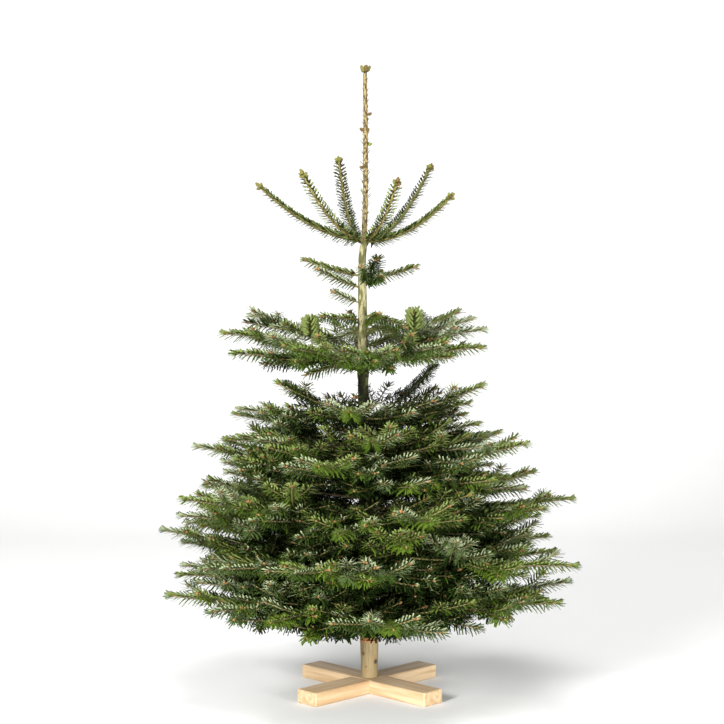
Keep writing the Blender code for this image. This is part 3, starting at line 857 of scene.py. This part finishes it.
bough_axes = [axis for axis in axes if axis.round == 0 and axis.habit in ("full", "airy")]
boughs = tubes("boughs", bough_axes, 1, (bough_bark,))
relief(boughs, "CLOUDS", size=0.012, strength=0.0012)
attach(boughs, "root")
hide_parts(*BARE_NODES)
print("boughs:", len(boughs.data.polygons), "faces")
thin_axes = [axis for axis in axes if axis.round > 0 or axis.habit in THIN_HABITS]
for group in GROUPS:
    chosen = [axis for axis in thin_axes if axis.group == group]
    finishes = (twig_yellow,) if group in ("crown", "side") else (twig_green, twig_brown, twig_green)
    twigs = tubes(f"twigs_{group}", chosen, 1 if group == "crown" else 0, finishes)
    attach(twigs, "root")
    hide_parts(*REPLACED[group])
    print(twigs.name, len(chosen), "twigs,", len(twigs.data.polygons), "faces")

# %% [markdown]
# ## One needle
#
# A fir needle is a flat blade with a narrow foot and a blunt tip, dark and glossy above and pale below.
# A plane would do from far off, but a sheet with no thickness vanishes edge-on. So the needle is a cube
# whose near end is merged to a point and whose upper corners are pulled back to the shoulders, which
# leaves five corners and six triangles. It is modelled once, 1 m long, and stamped many times.

# %% Modelling the needle
NEEDLE_THICKNESS = 0.3  # as a share of its width
NEEDLE_SHOULDER = 0.16  # where the upper corners end up, as a share of its length
NEEDLE_TIP = 0.72  # the tip's width as a share of the blade's
NEAR_FOOT, FAR_END = 0.1, 0.9  # corners before and beyond these places are the foot's and the tip's
FACING_DOWN = -0.02  # a triangle whose normal is lower than this is on the underside
Stamp = namedtuple("Stamp", "corners triangles under")


def stamp_of(obj):
    """Reads a small modelled mesh as arrays, marks the triangles that face down, and removes it."""
    mesh = obj.data
    corners = np.empty(len(mesh.vertices) * 3)
    mesh.vertices.foreach_get("co", corners)
    triangles = np.empty(len(mesh.polygons) * 3, dtype=np.int32)
    mesh.polygons.foreach_get("vertices", triangles)
    normals = np.empty(len(mesh.polygons) * 3)
    mesh.polygons.foreach_get("normal", normals)
    bpy.data.objects.remove(obj)
    faces_down = normals.reshape(-1, 3)[:, 2] < FACING_DOWN
    return Stamp(corners.reshape(-1, 3), triangles.reshape(-1, 3), faces_down)


def pick(obj, wanted):
    """Selects the corners whose place passes a test, and goes to edit mode."""
    bpy.ops.object.mode_set(mode="EDIT")
    bpy.ops.mesh.select_mode(type="VERT")
    bpy.ops.mesh.select_all(action="DESELECT")
    bpy.ops.object.mode_set(mode="OBJECT")
    for corner in obj.data.vertices:
        corner.select = wanted(corner.co)
    bpy.ops.object.mode_set(mode="EDIT")


def model_needle():
    """A blade along +X, 1 long and 1 wide, whose foot is at the origin."""
    bpy.ops.object.select_all(action="DESELECT")
    bpy.ops.mesh.primitive_cube_add(size=1, location=(0.5, 0, NEEDLE_THICKNESS / 2))
    obj = bpy.context.object
    obj.scale = (1, 1, NEEDLE_THICKNESS)
    bpy.ops.object.transform_apply()
    pick(obj, lambda co: co.x < NEAR_FOOT)
    bpy.ops.mesh.merge(type="CENTER")
    pick(obj, lambda co: co.x > FAR_END and co.z > NEEDLE_THICKNESS / 2)
    bpy.ops.transform.translate(value=(NEEDLE_SHOULDER - 1, 0, 0))
    pick(obj, lambda co: co.x > FAR_END)
    bpy.ops.transform.resize(value=(1, NEEDLE_TIP, 1), center_override=(1, 0, 0))
    bpy.ops.mesh.select_all(action="SELECT")
    bpy.ops.mesh.quads_convert_to_tris()
    bpy.ops.mesh.normals_make_consistent(inside=False)
    bpy.ops.object.mode_set(mode="OBJECT")
    return stamp_of(obj)


needle = model_needle()
below = int(needle.under.sum())
print("needle:", len(needle.corners), "corners,", len(needle.triangles), "triangles,", below, "below")

# %% [markdown]
# ## Where needles sit
#
# Needles spiral round a twig. On a side twig they part: few point straight up, most spread sideways,
# some hang, and none grow from straight below. Upper needles are shorter and lean forward more. Each
# needle's face turns towards the light: a sideways needle shows its top to the sky, and one that stands
# up turns its pale back outwards. That is what makes a fir spray silvery above and green at its hem.
#
# How a shoot wears its needles is its habit, one row of numbers for each kind: full on the boughs, airy
# in the upper whorl, stout on side shoots, a brush all round those that stand free, a fan at the end of
# upright ones, short and thin on the leader, and brown bud scales pressed to this year's wood.
#
# Each needle could be an object of its own, but Blender slows down long before there are thousands. Here
# they are rows of arrays: for every needle its foot, its three directions and its size.

# %% Habits
Habit = namedtuple("Habit", "length width pitch lean widest fade")
HABITS = {  # pitch: metres of twig for one needle; lean, widest: degrees off the twig and round it
    "full": Habit(0.0365, 0.0045, 0.00128, 54, 150, 0.0),
    "airy": Habit(0.0365, 0.0054, 0.00152, 54, 150, 0.0),
    "stout": Habit(0.0300, 0.0052, 0.00098, 58, 165, 0.1),
    "fan": Habit(0.0350, 0.0056, 0.00042, 50, 165, 0.0),
    "brush": Habit(0.0340, 0.0056, 0.00078, 54, 170, 0.0),
    "crown": Habit(0.0340, 0.0049, 0.00086, 56, 138, 0.42),
    "leader": Habit(0.0205, 0.0023, 0.0027, 46, 178, 0.25),
    "scales": Habit(0.0120, 0.0056, 0.0046, 22, 178, 0.0),
}
THINNING = 2.0  # how much wider needles are spaced at the tip, for a fade of 1
EVEN = 0.01  # stands for no thinning, because the sum divides by it
FEWEST = 4  # an axis with room for fewer needles than this has none
SCATTER = (0.1, 0.9)  # where a needle falls within its step
SUNK = 0.75  # how far from a twig's middle its needles start, as a share of its radius
TUFT = 1.07  # the last needles crowd at the tip, as if a twig this much longer were folded back on it
TUFT_FADE = 0.3  # but not where they fade as much as this
TWIG_BARE, SHORT_BARE, LONG_BARE, FAN_BARE = 0.012, 0.02, 0.05, 0.042  # metres next to the parent
SHADED = ("shoulder", "middle", "broad", "widest", "lowest")
SHADE_EDGE, SHADE_PLAY = 0.64, 0.1  # needles nearer the trunk than this share of the reach are painted nearly black, as painted shade
INNER_SHARE = 0.35  # near the trunk it is dark, and only this share of the needles is left
THIN_FROM, THIN_TO = 0.30, 0.70  # of the reach: where it is as low as that, and where all are left
CROWN_OUTLINE = ([row[0] + BEAM_THICKNESS for row in CROWN_REACH], [row[1] for row in CROWN_REACH])
PARTING, CROWDING = 10, 0.80  # degrees off upright where needles begin, and how they crowd towards it
LEAN_PLAY = 3
UPPER_LEAN = 16  # degrees that upper needles lean further forward
UPPER_SHORT = 0.26  # and how much shorter they are
LENGTHS, WIDTHS = (0.84, 1.08), (0.85, 1.1)  # the least and most, as a share of the habit's
FACE_FORWARD = 0.2  # how much needles turn their tops towards the twig's tip
NEAR_TIP, TIP_SHORT = 0.90, 0.16  # where the tip begins, and how much shorter needles are at its end
TWIST = 0.14  # radians, how far a needle may turn round its own length
GOLDEN = 0.6180339887
NOT_UPRIGHT = UP + (0.011, 0.007, 0)  # so that an upright twig has a side too
rng = np.random.default_rng(SEED)
print(len(HABITS), "habits, the longest needles", max(habit.length for habit in HABITS.values()), "m")

# %% Where needles leave an axis
def unit(vectors):
    return vectors / np.maximum(np.linalg.norm(vectors, axis=-1, keepdims=True), 1e-9)


def bare_of(axis):
    """How much of an axis has no needles, next to its parent."""
    if axis.habit == "fan":
        return FAN_BARE
    if axis.round:
        return TWIG_BARE
    return LONG_BARE if axis.group in LONG_GROUPS else SHORT_BARE


def needle_feet(axis, habit, reached):
    """Where the needles of an axis leave it, or None if it has none.

    For each needle: its foot, the twig's direction there, how far along it sits, in metres and as a
    share, and whether it gets the painted shade.
    """
    thin = max(EVEN, THINNING * habit.fade)
    bare = bare_of(axis)
    free = reached[-1] - bare
    count = int(free / habit.pitch * math.log(1 + thin) / thin)
    if count < FEWEST:
        return None
    share = ((1 + thin) ** ((np.arange(count) + rng.uniform(*SCATTER, count)) / count) - 1) / thin
    if habit.fade < TUFT_FADE and axis.habit != "scales":
        share = np.minimum(share * TUFT, 1.0)
    distance = bare + free * share
    foot = np.column_stack([np.interp(distance, reached, axis.points[:, k]) for k in range(3)])
    slot = np.clip(np.searchsorted(reached, distance) - 1, 0, len(axis.points) - 2)
    forward = unit(np.diff(axis.points, axis=0))[slot]
    if axis.group not in SHADED:
        return foot, forward, distance, share, np.zeros(count, dtype=bool)
    crown_reach = np.interp(foot[:, 2], *CROWN_OUTLINE)
    outer = np.hypot(foot[:, 0], foot[:, 1]) / crown_reach
    kept = rng.random(count) < np.interp(outer, (THIN_FROM, THIN_TO), (INNER_SHARE, 1.0))
    # needles near the trunk get the nearly black green: painted shade deep in the crown
    shaded = outer[kept] + rng.uniform(-SHADE_PLAY, SHADE_PLAY, kept.sum()) < SHADE_EDGE
    return (foot[kept], forward[kept], distance[kept], share[kept], shaded) if kept.any() else None


print("needle-free foot of a twig and a long bough:", TWIG_BARE, "and", LONG_BARE, "m")

# %% Needles' directions and sizes
def needle_places(axis):
    """Foot, three directions, length, width, share along and shade of each needle, or None."""
    habit = HABITS[axis.habit]
    steps = np.linalg.norm(np.diff(axis.points, axis=0), axis=1)
    reached = np.concatenate(((0.0,), np.cumsum(steps)))
    feet = needle_feet(axis, habit, reached)
    if feet is None:
        return None
    foot, forward, distance, share, shaded = feet
    count = len(foot)
    side = unit(np.cross(forward, NOT_UPRIGHT))
    up = np.cross(side, forward)
    turn = (np.arange(count) * GOLDEN + rng.random()) % 1.0
    round_angle = PARTING + (habit.widest - PARTING) * turn**CROWDING
    round_angle = np.radians(round_angle + rng.uniform(-LEAN_PLAY, LEAN_PLAY, count))
    way = np.where(np.arange(count) % 2 == 0, 1.0, -1.0)
    across = np.sin(round_angle) * way
    above = np.cos(round_angle)
    upper = np.clip(above, 0, 1)
    outward = side * across[:, None] + up * above[:, None]
    foot = foot + outward * (SUNK * np.interp(distance, reached, axis.radii))[:, None]
    near_tip = np.clip((share - NEAR_TIP) / (1 - NEAR_TIP), 0, 1)
    lean = np.radians(habit.lean - UPPER_LEAN * upper + rng.uniform(-LEAN_PLAY, LEAN_PLAY, count))
    lean = lean * (1 - near_tip * rng.uniform(*SCATTER, count))
    along_twig = unit(forward * np.cos(lean)[:, None] + outward * np.sin(lean)[:, None])
    top = up * np.abs(across)[:, None] + forward * FACE_FORWARD - side * (way * upper)[:, None]
    top = unit(top - along_twig * (top * along_twig).sum(1, keepdims=True))
    width_way = np.cross(top, along_twig)
    twist = rng.normal(0, TWIST, count)[:, None]
    top, width_way = (
        top * np.cos(twist) + width_way * np.sin(twist), width_way * np.cos(twist) - top * np.sin(twist),
    )
    length = habit.length * (1 - UPPER_SHORT * upper) * rng.uniform(*LENGTHS, count)
    length = length * (1 - habit.fade * share) * (1 - TIP_SHORT * near_tip)
    width = habit.width * rng.uniform(*WIDTHS, count)
    return foot, along_twig, width_way, top, length, width, share, shaded


print(f"upper needles are {UPPER_SHORT:.0%} shorter, and lean {UPPER_LEAN} degrees further forward")

# %% [markdown]
# ## Stamping
#
# A needle has to be set down some 160,000 times. Duplicating an object in a loop would take hours, and
# instances would have to be made real for the export. So the corners of all copies are worked out in one
# sum: foot, plus each corner's three coordinates along the copy's three directions. The mesh is then
# filled from the arrays, and each triangle is told which finish it wears.

# %% One mesh from many stamps
def stamp_mesh(name, stamp, places, sizes, tones, finishes, under_from):
    """One joined mesh of a stamp set down at many places.

    places holds the foot and three directions of each, sizes its length, width and thickness. The upper
    triangles take the finish that tones names, and the lower ones the one that under_from has for it.
    """
    foot, ahead, aside, top = places
    corners = (
        foot[:, None, :]
        + (stamp.corners[None, :, 0] * sizes[0][:, None])[:, :, None] * ahead[:, None, :]
        + (stamp.corners[None, :, 1] * sizes[1][:, None])[:, :, None] * aside[:, None, :]
        + (stamp.corners[None, :, 2] * sizes[2][:, None])[:, :, None] * top[:, None, :]
    )
    count, per = len(foot), len(stamp.corners)
    triangles = stamp.triangles[None, :, :] + (np.arange(count) * per)[:, None, None]
    finish_of = np.where(stamp.under[None, :], under_from[tones][:, None], tones[:, None])
    mesh = bpy.data.meshes.new(name)
    mesh.vertices.add(count * per)
    mesh.vertices.foreach_set("co", corners.ravel())
    mesh.loops.add(triangles.size)
    mesh.loops.foreach_set("vertex_index", triangles.ravel())
    mesh.polygons.add(triangles.size // 3)
    mesh.polygons.foreach_set("loop_start", np.arange(0, triangles.size, 3))
    mesh.polygons.foreach_set("material_index", finish_of.astype(np.int32).ravel())
    mesh.update(calc_edges=True)
    for finish in finishes:
        mesh.materials.append(finish.material)
    obj = bpy.data.objects.new(name, mesh)
    bpy.context.scene.collection.objects.link(obj)
    return obj


print("each needle adds", len(needle.corners), "corners to its piece")

# %% [markdown]
# ## Greens
#
# A needle is dark and waxy above, and below it has two pale bands that read as silver. The tree isn't
# one green: each spray has its own, and this year's shoots are yellower. Needles deep in the crown, a
# share of the upper sprays and of this year's shoots, and the boughs that stand in shade are painted
# nearly black, as painted shade. One finish with noise could vary the green, but the change would run
# across needles.
# Whole needles of a few plain greens look truer, and cost nothing to render.

# %% Needle finishes, and a mesh of needles for each group
GREENS = (
    Finish("needle_deep", (0.026, 0.050, 0.004), 0.42, specular=0.12),
    Finish("needle_mid", (0.048, 0.088, 0.005), 0.42, specular=0.12),
    Finish("needle_fresh", (0.066, 0.110, 0.007), 0.42, specular=0.12),
    Finish("needle_blue", (0.062, 0.097, 0.026), 0.42, specular=0.12),
    Finish("needle_crown", (0.066, 0.073, 0.008), 0.50, specular=0.06),
    Finish("needle_scale", (0.030, 0.022, 0.008), 0.60, specular=0.06),
    # nearly black: painted shade for needles deep in the crown and on boughs that stand in shade
    Finish("needle_shade", (0.008, 0.019, 0.0015), 0.50, specular=0.06),
)
BACKS = (
    Finish("needle_back", (0.300, 0.345, 0.190), 0.50, specular=0.10),
    Finish("needle_back_green", (0.175, 0.220, 0.060), 0.50, specular=0.10),
    # the undersides of the needles painted as shade
    Finish("needle_back_shade", (0.034, 0.050, 0.012), 0.55, specular=0.06),
)
BACK, BACK_GREEN, BACK_SHADE = (len(GREENS) + k for k in range(len(BACKS)))
UNDER_FROM = np.array((BACK, BACK_GREEN, BACK_GREEN, BACK, BACK_GREEN, SCALE, BACK_SHADE))
MOST_NEEDLES = 32000  # in one piece
INNER_END, INNER_PLAY = 0.40, 0.25  # this year's shoots are darker up to this share of their length
PAINTED_SHADE_INNER, PAINTED_SHADE_OUTER = 0.5, 0.25  # the share of needles painted nearly black as shade, before and beyond it


def needle_tones(axis, share, shaded):
    """The green of each needle of an axis."""
    if axis.habit == "scales":
        return np.full(len(share), SCALE)
    if axis.habit in ("crown", "leader"):
        inner = share + rng.uniform(-INNER_PLAY, INNER_PLAY, len(share)) < INNER_END
        # a share of this year's needles gets the nearly black green as painted shade, more of them near
        # the trunk
        dark = rng.random(len(share)) < np.where(inner, PAINTED_SHADE_INNER, PAINTED_SHADE_OUTER)
        return np.where(dark, SHADE, np.where(inner, MID, CROWN))
    return np.where(shaded, SHADE, axis.tone)


planted = 0
for group in GROUPS:
    found = []
    tones = []
    for axis in [axis for axis in axes if axis.group == group]:
        places = needle_places(axis)
        if places is not None:
            *places, share, shaded = places
            found.append(places)
            tones.append(needle_tones(axis, share, shaded))
    joined = [np.concatenate(parts) for parts in zip(*found)]
    tones = np.concatenate(tones)
    pieces = math.ceil(len(tones) / MOST_NEEDLES)
    for part in range(pieces):
        some = slice(part * len(tones) // pieces, (part + 1) * len(tones) // pieces)
        foot, ahead, aside, top, length, width = [values[some] for values in joined]
        name = f"needles_{group}" + (f"_{part + 1}" if pieces > 1 else "")
        needles = stamp_mesh(
            name, needle, (foot, ahead, aside, top), (length, width, width),
            tones[some], GREENS + BACKS, UNDER_FROM,
        )
        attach(needles, "root")
        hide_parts(*REPLACED[group])
        planted += len(foot)
        print(name, len(foot), "needles")
print("needles in all:", planted)

# %% [markdown]
# ## Buds
#
# Every twig ends in a bud. A fine twig has one, the end of a bough has two smaller ones beside it, and a
# shoot of this year's crown has six. They are orange-brown on the boughs and greenish on the crown, and
# they are what the eye reads as the tips of the tree. A bud is an egg of few faces: a cone whose base is
# extruded and drawn in to a point. A sphere would do too, but it is as blunt at its foot as at its tip,
# and a bud sits narrow on its twig.

# %% Modelling the bud
BUD_SIDES = 5
BUD_BELLY, BUD_TOP = 0.38, 0.88  # where a bud 1 m long is widest, and where it ends
BELLY_RADIUS, TOP_RADIUS = 0.5, 0.22


def model_bud():
    """An egg along +X whose foot is at the origin."""
    bpy.ops.object.select_all(action="DESELECT")
    bpy.ops.mesh.primitive_cone_add(
        vertices=BUD_SIDES, radius1=BELLY_RADIUS, radius2=TOP_RADIUS,
        depth=BUD_TOP - BUD_BELLY, location=(0, 0, (BUD_TOP + BUD_BELLY) / 2),
    )
    obj = bpy.context.object
    bpy.ops.object.transform_apply()
    pick(obj, lambda co: co.z < (BUD_TOP + BUD_BELLY) / 2)
    bpy.ops.mesh.extrude_region_move(TRANSFORM_OT_translate={"value": (0, 0, -BUD_BELLY)})
    bpy.ops.mesh.merge(type="CENTER")
    bpy.ops.mesh.select_all(action="SELECT")
    bpy.ops.mesh.quads_convert_to_tris()
    bpy.ops.mesh.normals_make_consistent(inside=False)
    bpy.ops.transform.rotate(value=math.radians(-90), orient_axis="Y", center_override=(0, 0, 0))
    bpy.ops.object.mode_set(mode="OBJECT")
    return stamp_of(obj)


bud = model_bud()
ends = [round(float(end), 2) for end in (bud.corners[:, 0].min(), bud.corners[:, 0].max())]
print("bud:", len(bud.triangles), "triangles, from", ends[0], "to", ends[1])

# %% Setting the buds
BUD_FINISHES = (
    Finish("bud_orange", (0.30, 0.155, 0.060), 0.5, specular=0.2),
    Finish("bud_brown", (0.120, 0.080, 0.028), 0.55, specular=0.1),
    Finish("bud_green", (0.150, 0.185, 0.030), 0.5, specular=0.1),
    Finish("bud_olive", (0.165, 0.150, 0.042), 0.5, specular=0.1),
)
ORANGE, BROWN, GREEN, OLIVE = range(len(BUD_FINISHES))
TWO_BESIDE = ((1, 0.15), (-1, 0.15))  # sideways and upwards of the middle bud
SIX_BESIDE = ((1, 0.2), (-1, 0.2), (0.5, -0.9), (-0.5, -0.9), (0.5, 0.9), (-0.5, 0.9))
Cluster = namedtuple("Cluster", "length beside spread smaller finishes")
CLUSTERS = {  # spread: how far the buds beside turn out; smaller: their length as a share
    "crown": Cluster(0.0200, SIX_BESIDE, 1.1, 0.86, (GREEN, OLIVE, OLIVE, BROWN)),
    "side": Cluster(0.0150, TWO_BESIDE, 0.8, 0.78, (ORANGE, ORANGE, BROWN)),
    "bough": Cluster(0.0130, TWO_BESIDE, 0.8, 0.78, (ORANGE, ORANGE, BROWN)),
    "twig": Cluster(0.0085, (), 0.8, 0.78, (BROWN,)),
}
FORWARD, SET_BACK = 0.65, 0.25  # how far buds beside the middle one point ahead, and sit behind it
BUD_WIDTH = 0.72  # as a share of its length
BUD_LENGTHS = (0.85, 1.15)  # the least and most, as a share of the cluster's
BUD_UPRIGHT = UP + (0.013, 0.007, 0)  # in line with no bud, so that each has a side
TIP_RING, TIP_CLIMB = 5, 1.5  # buds round the one on the leader's tip, and how steeply they stand
TIP_FINISHES = (OLIVE, BROWN, OLIVE, OLIVE, BROWN, GREEN)
TIP_LENGTHS = (0.030,) * TIP_RING + (0.027,)
TIP_WIDTH = 0.72  # the leader's buds are the slimmest: their width as a share of another bud's
LEADER_BUDS = (  # height, direction and finish of the single ones down the leader
    (1.697, 350, BROWN), (1.651, 185, BROWN), (1.648, 300, BROWN), (1.606, 10, GREEN),
    (1.539, 250, BROWN), (1.536, 170, BROWN),
)
LEADER_BUD_LENGTH, LEADER_BUD_CLIMB = 0.0175, 0.45
TIP_OFFSET, LEADER_OFFSET = 0.002, 0.005  # how far those buds start from the leader's axis


def cluster_of(axis):
    if axis.habit == "crown":
        return CLUSTERS["crown"]
    if axis.group == "side":
        return CLUSTERS["side"]
    return CLUSTERS["bough" if axis.round < 2 else "twig"]


def bud_places(axis, cluster):
    """Foot, direction and length of each bud at a tip: one ahead, and the smaller ones beside it."""
    tip = axis.points[-1]
    ahead = unit(tip - axis.points[-2])
    side = unit(np.cross(ahead, UP))
    up = np.cross(side, ahead)
    rows = [(tip, ahead, cluster.length)]
    for across, above in cluster.beside:
        direction = unit(ahead * FORWARD + (side * across + up * above) * cluster.spread)
        foot = tip - ahead * cluster.length * SET_BACK
        rows.append((foot, direction, cluster.length * cluster.smaller))
    return rows


feet, aheads, sizes, kinds = [], [], [], []
for axis in [axis for axis in axes if axis.habit not in ("leader", "scales")]:
    cluster = cluster_of(axis)
    for foot, direction, size in bud_places(axis, cluster):
        kinds.append(rng.choice(cluster.finishes))
        feet.append(foot)
        aheads.append(direction)
        sizes.append(size * rng.uniform(*BUD_LENGTHS))
tip = np.array(trunk_at(BUD_HEIGHT))
tip_buds = slice(len(feet), len(feet) + TIP_RING + 1)
for k in range(TIP_RING + 1):
    turn = math.tau * k / TIP_RING
    direction = UP if k == TIP_RING else unit(np.array((math.cos(turn), math.sin(turn), TIP_CLIMB)))
    feet.append(tip + direction * TIP_OFFSET)
    aheads.append(direction)
    sizes.append(TIP_LENGTHS[k])
    kinds.append(TIP_FINISHES[k])
for height, degrees, kind in LEADER_BUDS:
    turn = math.radians(degrees)
    direction = unit(np.array((math.cos(turn), math.sin(turn), LEADER_BUD_CLIMB)))
    feet.append(np.array(trunk_at(height)) + direction * LEADER_OFFSET)
    aheads.append(direction)
    sizes.append(LEADER_BUD_LENGTH)
    kinds.append(kind)
aheads = np.array(aheads)
asides = unit(np.cross(aheads, BUD_UPRIGHT))
sizes = np.array(sizes)
widths = sizes * BUD_WIDTH
widths[tip_buds] *= TIP_WIDTH
buds = stamp_mesh(
    "buds", bud, (np.array(feet), aheads, asides, np.cross(aheads, asides)), (sizes, widths, widths),
    np.array(kinds), BUD_FINISHES, np.arange(len(BUD_FINISHES)),
)
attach(buds, "root")
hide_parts(*sorted({name for names in REPLACED.values() for name in names}))
print("buds:", len(sizes))

# %% [markdown]
# ## The stand and its pin
#
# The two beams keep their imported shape, which has sawn edges and a half lap. They get planed softwood:
# growth rings are long stretched waves along the beam, with a fine fibre over them.

# %% Wood for the cross
PLANED_DARK, PLANED_PALE = (0.46, 0.30, 0.15), (0.66, 0.50, 0.31)
FIBRE_BROWN = (0.36, 0.22, 0.10)


def planed_softwood(name, turn):
    """Planed wood whose grain runs along a beam that lies turned by this many degrees."""
    wood = Finish(name, (0.60, 0.44, 0.26), 0.6)
    feeds = {"Vector": wood.place(), "Rotation": (0, 0, math.radians(-turn))}
    along_beam = wood.out(wood.node("ShaderNodeMapping", {}, feeds), "Vector")
    squeezed = wood.node("ShaderNodeMapping", {}, {"Vector": along_beam, "Scale": (0.06, 1, 1)})
    rings = wood.noise(wood.out(squeezed, "Vector"), 60.0)
    fibre = wood.noise(wood.out(squeezed, "Vector"), 420.0)
    planed = wood.mix(wood.between(rings, 0.35, 0.65), PLANED_DARK, PLANED_PALE)
    wood.color(wood.mix(0.35 * fibre, planed, FIBRE_BROWN))
    wood.bump(fibre, strength=0.3, distance=0.0006)
    return wood


for name, turn in (("stand_beam_lower", 45), ("stand_beam_upper", 135)):
    dress(nodes[name], planed_softwood(f"softwood_{turn}", turn))
steel = Finish("pin_steel", (0.55, 0.55, 0.56), 0.35, metallic=1.0)
dress(nodes["stand_pin"], steel)
print("stand dressed")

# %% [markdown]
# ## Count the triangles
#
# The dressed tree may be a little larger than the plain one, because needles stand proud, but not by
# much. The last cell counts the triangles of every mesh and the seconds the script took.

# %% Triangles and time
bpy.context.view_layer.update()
meshes = [obj.data for obj in bpy.data.objects if obj.type == "MESH"]
triangles = sum(len(face.vertices) - 2 for mesh in meshes for face in mesh.polygons)
print("triangles:", triangles, "seconds:", round(time.time() - started, 1))
